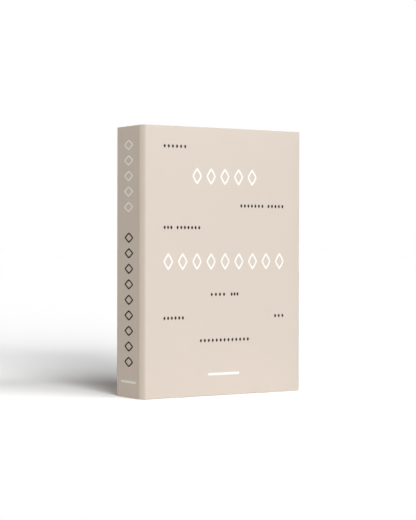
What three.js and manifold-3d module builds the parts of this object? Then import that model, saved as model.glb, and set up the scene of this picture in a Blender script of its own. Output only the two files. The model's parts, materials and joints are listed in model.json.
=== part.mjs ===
// Fire blanket in a book-shaped rigid box.
//
// A casebound shell (back board, spine board, front board, all covered in one paper) carries a
// shallow board tray. The folded glass-cloth blanket sits in the tray with two webbing pull tabs,
// and the front cover swings open on a paper hinge along the spine's front edge.
//
// Millimetres, +Z up. Origin: centre of the box's footprint on its resting plane.
// Front cover faces -Y, spine faces -X, fore-edge faces +X. The box is shown closed.

import * as THREE from 'three';
import { mergeVertices } from 'three/addons/utils/BufferGeometryUtils.js';
import Module from 'manifold-3d';

const wasm = await Module();
wasm.setup();

// ---------------------------------------------------------------- driving dimensions
const HEIGHT = 270;          // tail to head
const WIDTH = 189.4;         // spine to fore-edge
const DEPTH = 51;            // front cover to back cover

const PAPER = 0.3;           // covering paper
const GLUE = 0.05;           // glue line between two glued sheets
const BOARD = 2.5;           // case greyboard
const TURN_IN = 14;          // covering paper turned over on to the inside of the boards
const TURN_INSET = 0.01;     // turned sheets end this far inside the outer sheet's faces

const SQUARE = 2;            // how far the covers stand past the tray at head, tail and fore-edge
const TRAY_BOARD = 2;        // tray greyboard
const TRAY_PAPER = 0.2;      // tray covering paper
const BASE_LINING = 0.3;     // tray lining with its glue line
const COVER_GAP = 0.35;      // running gap between the closed cover and the tray's rim

// corner stays: paper thickness, length of each leg, and how far they stop short of the back
const STAY = { thickness: 0.15, leg: 14, backGap: 1 };

// soft corner at the hinge: its run along the front (x) and along the spine (y);
// flat is 1 for a round corner, 2 for a straight slope between the boards
const JOINT = { x: 3.3, y: 6.5, flat: 1.6, boardGap: 0.2, steps: 7 };
// the spine's back corner, where the boards meet and never move
const BACK_CORNER = { radius: 1, steps: 5 };
const SPLIT = 50;            // degrees round the soft corner where the cover's half starts
const SPLIT_GAP = 3.2;       // degrees left open on each side of the split
// cloth behind the joint: inset at head and tail, and degrees round the corner where it starts
const HINGE_CLOTH = { thickness: 0.25, endInset: 1, start: 2 };

const COVER_LINING = { thickness: 0.3, margin: 3, hingeInset: 0.6 };
const CARD = { thickness: 0.4, x: [-62, 66], z: [52, 218] };

const RAIL = 6;              // filler rail that doubles the fore-edge wall
const MAGNET = { x: 5, y: 1.9, z: 20, fit: 0.1 };     // fit is the clearance in its pocket
const MAGNET_PLACES = [['lower', 66], ['upper', 204]]; // mesh name ending, height of the centre

const BLANKET = { x: 166, y: 36.4, z: 254, radius: 7, cornerSteps: 4, gap: 0.3 };
const TAB = { width: 25, thickness: 2.6, length: 84, z: 200, endSteps: 8, gap: 0.3 };
const SEWN_END = { length: 30, thickness: 1.2, gap: 0.1 };
const TAB_PLACES = [['left', -44], ['right', 38]];     // mesh name ending, centre in X

const OVERCUT = 1;           // how far a cutting solid runs past the face it opens

// ---------------------------------------------------------------- derived planes
// Every range is [low, high] along its axis.
const inset = ([low, high], amount) => [low + amount, high - amount];
const layerAfter = (y, thickness) => [y + GLUE, y + GLUE + thickness];
const layerBefore = (y, thickness) => [y - GLUE - thickness, y - GLUE];

const X_SPINE = -WIDTH / 2;  // outer faces of the case
const X_FORE = WIDTH / 2;
const Y_FRONT = -DEPTH / 2;
const Y_BACK = DEPTH / 2;

const coverBoardY = layerAfter(Y_FRONT + PAPER, BOARD);
const coverTurnY = layerAfter(coverBoardY[1], PAPER);
const coverLiningY = layerAfter(coverTurnY[1], COVER_LINING.thickness);
const cardY = layerAfter(coverLiningY[1], CARD.thickness);
const coverHingeX = X_SPINE + JOINT.x + JOINT.boardGap;

const backBoardY = layerBefore(Y_BACK - PAPER, BOARD);
const backTurnY = layerBefore(backBoardY[0], PAPER);
const spineBoardX = layerAfter(X_SPINE + PAPER, BOARD);
const spineBoardY = [Y_FRONT + JOINT.y + JOINT.boardGap, backBoardY[0] - GLUE];
const spineTurnX = layerAfter(spineBoardX[1], PAPER);

const boardForeX = X_FORE - PAPER - GLUE;              // board edge under the fore-edge turn
const boardZ = inset([0, HEIGHT], PAPER + GLUE);       // board edges under head and tail turns

// outside of the tray's covering paper
const tray = {
  x: [spineTurnX[1] + GLUE, X_FORE - SQUARE],
  y: [coverLiningY[1] + COVER_GAP, backTurnY[0] - GLUE],
  z: [SQUARE, HEIGHT - SQUARE],
};
const SKIN = TRAY_PAPER + GLUE + STAY.thickness + GLUE; // paper, stay and glue over a wall
const wall = {
  x: inset(tray.x, SKIN),
  y: [tray.y[0] + TRAY_PAPER + GLUE, tray.y[1] - TRAY_BOARD - GLUE],
  z: inset(tray.z, SKIN),
};
// bare inside of the walls and the rail
const well = {
  x: [wall.x[0] + TRAY_BOARD, wall.x[1] - TRAY_BOARD - GLUE - RAIL],
  z: inset(wall.z, TRAY_BOARD),
};
// inside of the paper that lines the walls
const cavity = {
  x: inset(well.x, GLUE + TRAY_PAPER),
  z: inset(well.z, GLUE + TRAY_PAPER),
};
const baseLiningFront = wall.y[1] - BASE_LINING;
const railX = [well.x[1], well.x[1] + RAIL];
const magnetX = (railX[0] + railX[1]) / 2;

const blanketBack = baseLiningFront - BLANKET.gap;
const blanketY = [blanketBack - BLANKET.y, blanketBack];
const blanketTail = cavity.z[0] + BLANKET.gap;

// ---------------------------------------------------------------- materials
const GREYBOARD = { color: 0x9c968c, roughness: 0.95 };
const COVER_PAPER = { color: 0xd9ccbf, roughness: 0.72 };
const OFF_WHITE_PAPER = { color: 0xe9e4da, roughness: 0.8 };
const JOINT_CLOTH = { color: 0xcfc4b6, roughness: 0.95 };
const STAY_PAPER = { color: 0xb89a6e, roughness: 0.9 };
const CARD_STOCK = { color: 0xf2efe8, roughness: 0.6 };
const MAGNET_METAL = { color: 0x8c8d90, roughness: 0.35, metalness: 1 };
const GLASS_CLOTH = { color: 0xe6e3da, roughness: 0.9 };
const WEBBING = { color: 0x2b2a29, roughness: 0.85 };

// ---------------------------------------------------------------- solids
const toSolid = (geometry) => {
  // normals and UVs would keep coincident vertices apart
  geometry.deleteAttribute('normal');
  geometry.deleteAttribute('uv');
  const merged = mergeVertices(geometry, 1e-5);
  return new wasm.Manifold(new wasm.Mesh({
    numProp: 3,
    vertProperties: new Float32Array(merged.attributes.position.array),
    triVerts: new Uint32Array(merged.index.array),
  }));
};

const toGeometry = (solid) => {
  const mesh = solid.getMesh();
  const geometry = new THREE.BufferGeometry();
  const positions = new Float32Array(mesh.vertProperties);
  geometry.setAttribute('position', new THREE.BufferAttribute(positions, 3));
  geometry.setIndex(new THREE.BufferAttribute(new Uint32Array(mesh.triVerts), 1));
  geometry.computeVertexNormals();
  return geometry;
};

const box = ([x0, x1], [y0, y1], [z0, z1]) => {
  const geometry = new THREE.BoxGeometry(x1 - x0, y1 - y0, z1 - z0);
  geometry.translate((x0 + x1) / 2, (y0 + y1) / 2, (z0 + z1) / 2);
  return toSolid(geometry);
};

const extrude = (points, depth) => {
  const shape = new THREE.Shape(points.map(([x, y]) => new THREE.Vector2(x, y)));
  return new THREE.ExtrudeGeometry(shape, { depth, bevelEnabled: false, steps: 1 });
};

// a plan outline in X and Y, drawn up from z0 to z1
const prism = (points, [z0, z1]) => toSolid(extrude(points, z1 - z0).translate(0, 0, z0));

const join = (first, ...rest) => rest.reduce((sum, solid) => sum.add(solid), first);
const cut = (first, ...rest) => rest.reduce((sum, solid) => sum.subtract(solid), first);

const group = new THREE.Group();
const add = (name, solid, material) => {
  const mesh = new THREE.Mesh(toGeometry(solid), new THREE.MeshStandardMaterial(material));
  mesh.name = name;
  group.add(mesh);
};

// ---------------------------------------------------------------- the case's corner curves
const radians = (degrees) => (degrees * Math.PI) / 180;

// count + 1 values from start to end
const spread = (start, end, count) => (
  Array.from({ length: count + 1 }, (_, i) => start + ((end - start) * i) / count)
);

// Points round a corner, at 0 degrees on the spine and at 90 on the front or back, inset from
// the outer face. flat above 1 makes the middle flatter than an ellipse.
const cornerCurve = ({ centre, run, side, flat, insetBy, from, to, steps }) => (
  spread(from, to, steps).map((angle) => {
    const alongX = Math.max(0, Math.cos(radians(angle))) ** flat;
    const alongY = Math.max(0, Math.sin(radians(angle))) ** flat;
    return [
      centre[0] - (run[0] - insetBy) * alongX,
      centre[1] + side * (run[1] - insetBy) * alongY,
    ];
  })
);

const jointCurve = (insetBy, from, to) => cornerCurve({
  centre: [X_SPINE + JOINT.x, Y_FRONT + JOINT.y],
  run: [JOINT.x, JOINT.y],
  side: -1,
  flat: JOINT.flat,
  steps: JOINT.steps,
  insetBy,
  from,
  to,
});

const backCurve = (insetBy, from, to) => cornerCurve({
  centre: [X_SPINE + BACK_CORNER.radius, Y_BACK - BACK_CORNER.radius],
  run: [BACK_CORNER.radius, BACK_CORNER.radius],
  side: 1,
  flat: 1,
  steps: BACK_CORNER.steps,
  insetBy,
  from,
  to,
});

const spineHalfEnd = SPLIT - SPLIT_GAP;
const coverHalfStart = SPLIT + SPLIT_GAP;

// heights of the paper over the boards' edges, and of its flaps on their inside faces
const END_TURNS = [
  { edgeZ: [0, PAPER], flapZ: [0, TURN_IN] },
  { edgeZ: [HEIGHT - PAPER, HEIGHT], flapZ: [HEIGHT - TURN_IN, HEIGHT] },
];
const turnForeX = X_FORE - TURN_INSET;
const foreEdgeFlap = (y) => box([X_FORE - TURN_IN, turnForeX], y, [0, HEIGHT]);

// ---------------------------------------------------------------- case: back, spine, paper
const backBoard = () => prism([
  ...backCurve(PAPER + GLUE, 0, 90),
  [boardForeX, backBoardY[1]],
  [boardForeX, backBoardY[0]],
  [spineBoardX[0], backBoardY[0]],
], boardZ);

const caseWrap = () => {
  // outer sheet: half of the soft joint, the spine, the back corner, the back, the fore-edge turn
  const outer = [
    ...jointCurve(0, spineHalfEnd, 0),
    ...backCurve(0, 0, 90),
    [X_FORE, Y_BACK],
    [X_FORE, backTurnY[0]],
  ];
  const inner = [
    [X_FORE - PAPER, backTurnY[0]],
    [X_FORE - PAPER, Y_BACK - PAPER],
    ...backCurve(PAPER, 90, 0),
    ...jointCurve(PAPER, 0, spineHalfEnd),
  ];
  const backEdge = {
    x: [X_SPINE + BACK_CORNER.radius, turnForeX],
    y: [backTurnY[0], Y_BACK - TURN_INSET],
  };
  const spineEdge = {
    x: [X_SPINE + TURN_INSET, spineTurnX[1]],
    y: [spineBoardY[0], Y_BACK - BACK_CORNER.radius],
  };
  const endSheets = END_TURNS.flatMap(({ edgeZ, flapZ }) => [
    box(backEdge.x, backEdge.y, edgeZ),
    box([spineTurnX[0], turnForeX], backTurnY, flapZ),
    box(spineEdge.x, spineEdge.y, edgeZ),
    box(spineTurnX, spineBoardY, flapZ),
  ]);
  return join(prism([...outer, ...inner], [0, HEIGHT]), ...endSheets, foreEdgeFlap(backTurnY));
};

// cloth that backs the paper across the joint, on the spine's side of the split
const hingeCloth = () => {
  const { thickness, endInset, start } = HINGE_CLOTH;
  const outerInset = PAPER + GLUE;
  return prism([
    ...jointCurve(outerInset, spineHalfEnd, start),
    ...jointCurve(outerInset + thickness, start, spineHalfEnd),
  ], inset([0, HEIGHT], endInset));
};

add('back_board', backBoard(), GREYBOARD);
add('spine_board', box(spineBoardX, spineBoardY, boardZ), GREYBOARD);
add('case_wrap', caseWrap(), COVER_PAPER);
add('hinge_cloth', hingeCloth(), JOINT_CLOTH);

// ---------------------------------------------------------------- closure magnets
const magnetBox = (y, z, clearance = 0) => box(
  inset([magnetX - MAGNET.x / 2, magnetX + MAGNET.x / 2], -clearance),
  y,
  inset([z - MAGNET.z / 2, z + MAGNET.z / 2], -clearance),
);

const pocketDepth = MAGNET.y + 2 * MAGNET.fit;
const cutPockets = (solid, y) => (
  cut(solid, ...MAGNET_PLACES.map(([, z]) => magnetBox(y, z, MAGNET.fit)))
);

const addMagnets = (prefix, y) => {
  for (const [place, z] of MAGNET_PLACES) {
    add(`${prefix}_${place}`, magnetBox(y, z), MAGNET_METAL);
  }
};

// ---------------------------------------------------------------- tray
const END_WALL = TRAY_BOARD - GLUE; // head and tail walls, less the glue to the side walls
const TRAY_BOARDS = [
  // name, x range, y range, z range
  ['tray_base', wall.x, [tray.y[1] - TRAY_BOARD, tray.y[1]], wall.z],
  ['tray_tail_wall', wall.x, wall.y, [wall.z[0], wall.z[0] + END_WALL]],
  ['tray_head_wall', wall.x, wall.y, [wall.z[1] - END_WALL, wall.z[1]]],
  ['tray_spine_wall', [wall.x[0], wall.x[0] + TRAY_BOARD], wall.y, well.z],
  ['tray_fore_edge_wall', [wall.x[1] - TRAY_BOARD, wall.x[1]], wall.y, well.z],
];
for (const [name, x, y, z] of TRAY_BOARDS) {
  add(name, box(x, y, z), GREYBOARD);
}

// the rail takes the tray's magnets in its front edge
const rail = cutPockets(
  box(railX, wall.y, well.z),
  [wall.y[0] - OVERCUT, wall.y[0] + pocketDepth],
);
add('fore_edge_rail', rail, GREYBOARD);
addMagnets('tray_magnet', [wall.y[0] + MAGNET.fit, wall.y[0] + MAGNET.fit + MAGNET.y]);

// paper stay folded round one corner of the tray, under its covering paper;
// each side is -1 or 1, towards the low or high end of its axis
const cornerStay = (sideX, sideZ) => {
  const reach = (range, side) => {
    const inner = side < 0 ? range[0] - GLUE : range[1] + GLUE;
    const outer = inner + side * STAY.thickness;
    const legEnd = inner - side * STAY.leg;
    const ordered = (a, b) => [Math.min(a, b), Math.max(a, b)];
    return { sheet: ordered(inner, outer), leg: ordered(legEnd, outer) };
  };
  const x = reach(wall.x, sideX);
  const z = reach(wall.z, sideZ);
  const y = [wall.y[0], tray.y[1] - STAY.backGap];
  return join(box(x.leg, y, z.sheet), box(x.sheet, y, z.leg));
};

for (const [end, sideZ] of [['tail', -1], ['head', 1]]) {
  for (const [edge, sideX] of [['spine', -1], ['fore_edge', 1]]) {
    add(`corner_stay_${end}_${edge}`, cornerStay(sideX, sideZ), STAY_PAPER);
  }
}

// covering paper: up the outside of the walls, over the rim and down the inside to the base
const trayWrap = () => {
  const [rim, back] = tray.y;
  const outside = cut(
    box(tray.x, tray.y, tray.z),
    box(
      inset(tray.x, TRAY_PAPER),
      [rim + TRAY_PAPER, back + OVERCUT],
      inset(tray.z, TRAY_PAPER),
    ),
    box(cavity.x, [rim - OVERCUT, rim + 2 * TRAY_PAPER], cavity.z),
  );
  const inside = cut(
    box(
      inset(cavity.x, -TRAY_PAPER),
      [rim, baseLiningFront - GLUE],
      inset(cavity.z, -TRAY_PAPER),
    ),
    box(cavity.x, [rim - OVERCUT, back + OVERCUT], cavity.z),
  );
  return join(outside, inside);
};

const trayLining = box(
  inset(well.x, GLUE),
  [baseLiningFront, wall.y[1] - GLUE],
  inset(well.z, GLUE),
);

add('tray_wrap', trayWrap(), OFF_WHITE_PAPER);
add('tray_lining', trayLining, OFF_WHITE_PAPER);

// ---------------------------------------------------------------- folded blanket
const blanket = () => {
  const { radius } = BLANKET;
  const middleX = (cavity.x[0] + cavity.x[1]) / 2;
  const [x0, x1] = inset([middleX - BLANKET.x / 2, middleX + BLANKET.x / 2], radius);
  const [y0, y1] = inset(blanketY, radius);
  // corner centre x, y, and the angle its quarter turn starts from
  const corners = [
    [x1, y1, 0],
    [x0, y1, 90],
    [x0, y0, 180],
    [x1, y0, 270],
  ];
  const outline = corners.flatMap(([x, y, start]) => (
    spread(start, start + 90, BLANKET.cornerSteps).map((angle) => [
      x + radius * Math.cos(radians(angle)),
      y + radius * Math.sin(radians(angle)),
    ])
  ));
  return prism(outline, [blanketTail, blanketTail + BLANKET.z]);
};

add('blanket', blanket(), GLASS_CLOTH);

// ---------------------------------------------------------------- pull tabs
const tabRadius = TAB.thickness / 2;

// free loop: a strap doubled on itself, round at its top and bottom
const tabLoop = (x) => {
  const end = (start, centreZ) => spread(start, start + 180, TAB.endSteps).map((angle) => [
    tabRadius * Math.sin(radians(angle)),
    centreZ + tabRadius * Math.cos(radians(angle)),
  ]);
  const outline = [...end(-90, 0), ...end(90, -(TAB.length - tabRadius))];
  const centreY = blanketY[0] - TAB.gap - tabRadius;
  // the outline is drawn in Y and Z, then run along X
  const placement = new THREE.Matrix4().set(
    0, 0, 1, x - TAB.width / 2,
    1, 0, 0, centreY,
    0, 1, 0, TAB.z,
    0, 0, 0, 1,
  );
  return toSolid(extrude(outline, TAB.width).applyMatrix4(placement));
};

// the same strap's single end, sewn flat to the blanket above the loop
const tabSewnEnd = (x) => {
  const back = blanketY[0] - SEWN_END.gap;
  const bottom = TAB.z + tabRadius + TAB.gap;
  return box(
    [x - TAB.width / 2, x + TAB.width / 2],
    [back - SEWN_END.thickness, back],
    [bottom, bottom + SEWN_END.length],
  );
};

for (const [side, x] of TAB_PLACES) {
  add(`pull_tab_${side}`, tabLoop(x), WEBBING);
  add(`pull_tab_${side}_sewn_end`, tabSewnEnd(x), WEBBING);
}

// ---------------------------------------------------------------- front cover
const frontBoard = cutPockets(
  box([coverHingeX, boardForeX], coverBoardY, boardZ),
  [coverBoardY[1] - pocketDepth, coverBoardY[1] + OVERCUT],
);

const coverWrap = () => {
  // outer sheet: the cover's half of the soft joint, the front and the fore-edge turn
  const outer = [
    ...jointCurve(0, coverHalfStart, 90),
    [X_FORE, Y_FRONT],
    [X_FORE, coverTurnY[1]],
  ];
  const inner = [
    [X_FORE - PAPER, coverTurnY[1]],
    [X_FORE - PAPER, Y_FRONT + PAPER],
    ...jointCurve(PAPER, 90, coverHalfStart),
  ];
  const turnX = [coverHingeX, turnForeX];
  const endSheets = END_TURNS.flatMap(({ edgeZ, flapZ }) => [
    box(turnX, [Y_FRONT + TURN_INSET, coverTurnY[1]], edgeZ),
    box(turnX, coverTurnY, flapZ),
  ]);
  return join(prism([...outer, ...inner], [0, HEIGHT]), ...endSheets, foreEdgeFlap(coverTurnY));
};

const coverLining = box(
  [coverHingeX + COVER_LINING.hingeInset, X_FORE - COVER_LINING.margin],
  coverLiningY,
  inset([0, HEIGHT], COVER_LINING.margin),
);

add('front_board', frontBoard, GREYBOARD);
addMagnets('cover_magnet', [
  coverBoardY[1] - MAGNET.fit - MAGNET.y,
  coverBoardY[1] - MAGNET.fit,
]);
add('cover_wrap', coverWrap(), COVER_PAPER);
add('cover_lining', coverLining, OFF_WHITE_PAPER);
add('instruction_card', box(CARD.x, cardY, CARD.z), CARD_STOCK);

export default group;
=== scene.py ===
import json
import math
import random
from collections import namedtuple

import bmesh
import bpy
import numpy as np
from mathutils import Matrix, Vector
from mathutils.bvhtree import BVHTree
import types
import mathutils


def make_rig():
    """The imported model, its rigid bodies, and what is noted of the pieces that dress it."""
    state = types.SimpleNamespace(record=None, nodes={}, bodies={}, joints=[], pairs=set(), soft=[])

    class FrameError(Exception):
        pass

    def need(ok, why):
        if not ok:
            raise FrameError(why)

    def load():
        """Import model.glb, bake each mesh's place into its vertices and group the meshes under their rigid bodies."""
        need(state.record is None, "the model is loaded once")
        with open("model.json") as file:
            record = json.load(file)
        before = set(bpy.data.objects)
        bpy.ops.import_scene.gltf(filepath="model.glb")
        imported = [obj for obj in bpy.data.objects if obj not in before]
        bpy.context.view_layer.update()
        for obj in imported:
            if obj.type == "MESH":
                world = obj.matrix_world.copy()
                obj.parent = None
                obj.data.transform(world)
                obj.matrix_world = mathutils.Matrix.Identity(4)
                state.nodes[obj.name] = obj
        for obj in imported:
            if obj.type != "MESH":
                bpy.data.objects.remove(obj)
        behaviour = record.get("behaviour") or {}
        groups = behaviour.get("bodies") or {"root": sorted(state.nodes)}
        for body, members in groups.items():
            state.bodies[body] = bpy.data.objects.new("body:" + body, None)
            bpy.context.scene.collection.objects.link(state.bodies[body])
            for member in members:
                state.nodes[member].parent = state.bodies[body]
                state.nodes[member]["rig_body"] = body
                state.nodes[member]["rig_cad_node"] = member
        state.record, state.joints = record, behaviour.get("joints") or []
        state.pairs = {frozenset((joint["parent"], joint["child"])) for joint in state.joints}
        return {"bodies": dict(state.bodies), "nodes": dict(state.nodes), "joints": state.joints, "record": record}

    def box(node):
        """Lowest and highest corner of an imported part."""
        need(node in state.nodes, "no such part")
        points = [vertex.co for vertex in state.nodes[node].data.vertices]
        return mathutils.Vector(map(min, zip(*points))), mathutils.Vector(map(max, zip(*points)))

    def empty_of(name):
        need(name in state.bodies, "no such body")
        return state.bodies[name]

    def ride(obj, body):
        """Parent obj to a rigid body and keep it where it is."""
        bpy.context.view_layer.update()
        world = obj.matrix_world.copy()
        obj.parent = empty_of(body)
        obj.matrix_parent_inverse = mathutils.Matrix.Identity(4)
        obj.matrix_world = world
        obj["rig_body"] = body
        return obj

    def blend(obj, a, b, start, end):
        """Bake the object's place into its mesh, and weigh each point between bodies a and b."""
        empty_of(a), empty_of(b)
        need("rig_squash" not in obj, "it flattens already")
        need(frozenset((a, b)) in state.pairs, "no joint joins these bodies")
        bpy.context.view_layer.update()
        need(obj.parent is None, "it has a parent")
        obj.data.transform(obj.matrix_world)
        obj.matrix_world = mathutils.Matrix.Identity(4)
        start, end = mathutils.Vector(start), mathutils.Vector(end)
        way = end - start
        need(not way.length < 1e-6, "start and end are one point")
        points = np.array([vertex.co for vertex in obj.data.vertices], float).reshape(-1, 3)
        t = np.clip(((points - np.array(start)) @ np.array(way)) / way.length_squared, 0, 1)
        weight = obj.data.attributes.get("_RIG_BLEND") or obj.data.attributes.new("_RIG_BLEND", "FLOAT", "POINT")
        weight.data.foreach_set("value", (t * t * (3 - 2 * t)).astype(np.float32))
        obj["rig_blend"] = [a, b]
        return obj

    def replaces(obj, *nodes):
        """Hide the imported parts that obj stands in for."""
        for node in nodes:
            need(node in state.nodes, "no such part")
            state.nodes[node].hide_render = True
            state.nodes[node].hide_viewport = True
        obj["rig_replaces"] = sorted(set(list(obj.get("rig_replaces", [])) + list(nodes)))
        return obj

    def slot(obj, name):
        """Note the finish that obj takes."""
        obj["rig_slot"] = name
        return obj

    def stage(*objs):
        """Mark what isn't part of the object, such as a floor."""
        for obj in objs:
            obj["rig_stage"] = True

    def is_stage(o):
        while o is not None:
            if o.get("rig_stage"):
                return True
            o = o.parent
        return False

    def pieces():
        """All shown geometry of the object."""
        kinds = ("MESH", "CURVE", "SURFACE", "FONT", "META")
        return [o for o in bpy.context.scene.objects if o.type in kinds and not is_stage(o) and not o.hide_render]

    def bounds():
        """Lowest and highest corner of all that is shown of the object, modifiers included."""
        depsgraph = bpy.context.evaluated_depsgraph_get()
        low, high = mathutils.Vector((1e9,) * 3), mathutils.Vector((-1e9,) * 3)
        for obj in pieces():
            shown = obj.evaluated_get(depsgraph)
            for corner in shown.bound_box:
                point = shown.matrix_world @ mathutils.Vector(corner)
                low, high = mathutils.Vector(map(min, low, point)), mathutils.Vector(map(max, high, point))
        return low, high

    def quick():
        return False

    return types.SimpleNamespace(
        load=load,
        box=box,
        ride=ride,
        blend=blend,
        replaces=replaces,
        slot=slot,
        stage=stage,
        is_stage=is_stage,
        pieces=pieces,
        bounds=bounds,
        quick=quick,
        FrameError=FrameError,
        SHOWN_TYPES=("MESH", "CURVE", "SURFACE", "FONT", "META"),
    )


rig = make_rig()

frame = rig.load()
CAD_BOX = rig.bounds()

MM = 0.001
scene = bpy.context.scene
rng = random.Random(7)      # sideways wobble of each stitch


# ------------------------------------------------------------------ places from the CAD nodes
def box_mm(node):
    lo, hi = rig.box(node)
    return [c * 1000 for c in lo], [c * 1000 for c in hi]


case_lo, case_hi = box_mm("case_wrap")
cover_lo, cover_hi = box_mm("cover_wrap")
front_lo, front_hi = box_mm("front_board")
back_lo, _ = box_mm("back_board")
spine_lo, spine_hi = box_mm("spine_board")
tray_lo, tray_hi = box_mm("tray_wrap")
tray_lining_lo, tray_lining_hi = box_mm("tray_lining")
cover_lining_lo, cover_lining_hi = box_mm("cover_lining")
card_lo, card_hi = box_mm("instruction_card")
blanket_lo, blanket_hi = box_mm("blanket")

SPINE_X, FORE_X = case_lo[0], case_hi[0]
FRONT_Y, BACK_Y = cover_lo[1], case_hi[1]
TAIL_Z, HEAD_Z = case_lo[2], case_hi[2]

PAPER = 0.3         # thickness of the covering paper
R_EDGE = 0.75       # its radius round a board's edge
LEAD = 0.6          # flat strip where a soft corner's sheet meets a panel
TURN = 14.0         # paper turned in over a board's inner face

# A soft corner of the case: its centre in plan, its size along x and y, the side in y it faces,
# and how flat its middle is (1 is an ellipse, 2 a straight slope)
Corner = namedtuple("Corner", "x y width depth side flat")
FRONT_CORNER_X = front_lo[0] - 0.2
FRONT_CORNER_Y = spine_lo[1] - 0.2
FRONT_CORNER = Corner(FRONT_CORNER_X, FRONT_CORNER_Y, FRONT_CORNER_X - SPINE_X,
                      FRONT_CORNER_Y - FRONT_Y, side=-1, flat=1.6)
R_BACK = 1.0
BACK_CORNER = Corner(SPINE_X + R_BACK, BACK_Y - R_BACK, R_BACK, R_BACK, side=1, flat=1.0)


# ------------------------------------------------------------------ mesh helpers
def clamp01(value):
    return min(1.0, max(0.0, value))


def mesh_obj(name, verts, faces, mat, smooth_angle=38):
    """An object from vertices in mm. Edges sharper than smooth_angle degrees stay sharp."""
    me = bpy.data.meshes.new(name)
    me.from_pydata([(x * MM, y * MM, z * MM) for x, y, z in verts], [], [tuple(f) for f in faces])
    me.validate(clean_customdata=False)
    me.update()
    bm = bmesh.new()
    bm.from_mesh(me)
    bmesh.ops.recalc_face_normals(bm, faces=bm.faces)
    if bm.calc_volume(signed=True) < 0 and all(e.is_manifold for e in bm.edges):
        bmesh.ops.reverse_faces(bm, faces=bm.faces)     # a thin curled sheet can face inwards
    bm.to_mesh(me)
    bm.free()
    me.polygons.foreach_set("use_smooth", [True] * len(me.polygons))
    me.set_sharp_from_angle(angle=math.radians(smooth_angle))
    ob = bpy.data.objects.new(name, me)
    scene.collection.objects.link(ob)
    me.materials.append(mat)
    return ob


def attach(ob, slot, body, *replaced):
    """Gives an object its slot, the CAD nodes it replaces and the body it rides on."""
    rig.slot(ob, slot)
    if replaced:
        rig.replaces(ob, *replaced)
    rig.ride(ob, body)


def band_faces(rows, n, base=0, close_loop=False):
    """Quads between successive closed rings of n vertices, numbered from base."""
    faces = []
    for i in range(rows if close_loop else rows - 1):
        a, b = base + i * n, base + ((i + 1) % rows) * n
        for k in range(n):
            k2 = (k + 1) % n
            faces.append([a + k, a + k2, b + k2, b + k])
    return faces


def loft(name, rings, mat, smooth_angle, close_loop=False, caps=True, flip_caps=False):
    """Joins rings of equal length, and closes the ends or joins the last ring to the first."""
    n, rows = len(rings[0]), len(rings)
    faces = band_faces(rows, n, close_loop=close_loop)
    if caps:
        first, last = list(range(n)), list(range((rows - 1) * n, rows * n))
        faces += [first, last[::-1]] if flip_caps else [first[::-1], last]
    return mesh_obj(name, [p for r in rings for p in r], faces, mat, smooth_angle)


def sheet_loft(name, rings, mat, smooth_angle=38):
    """Joins rings that each run out along a sheet's one side and back along its other."""
    n, rows = len(rings[0]), len(rings)
    faces = band_faces(rows, n)
    for base in (0, (rows - 1) * n):
        for k in range(n // 2 - 1):
            faces.append([base + k, base + k + 1, base + n - 2 - k, base + n - 1 - k])
    return mesh_obj(name, [p for r in rings for p in r], faces, mat, smooth_angle)


def grid_places(lo, hi, r_lo, r_hi, step):
    """Grid places along one side of a slab, dense where its edges are rounded."""
    n = 4
    out = [lo]
    if r_lo:
        out += [lo + r_lo - r_lo * math.tan(math.radians(45 * (n - k) / n))
                for k in range(1, n + 1)]
    tail = [hi]
    if r_hi:
        tail = [hi - r_hi + r_hi * math.tan(math.radians(45 * k / n)) for k in range(n + 1)]
    a, b = out[-1], tail[0]
    m = max(1, int(round((b - a) / step)))
    return out + [a + (b - a) * k / m for k in range(1, m)] + tail


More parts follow.
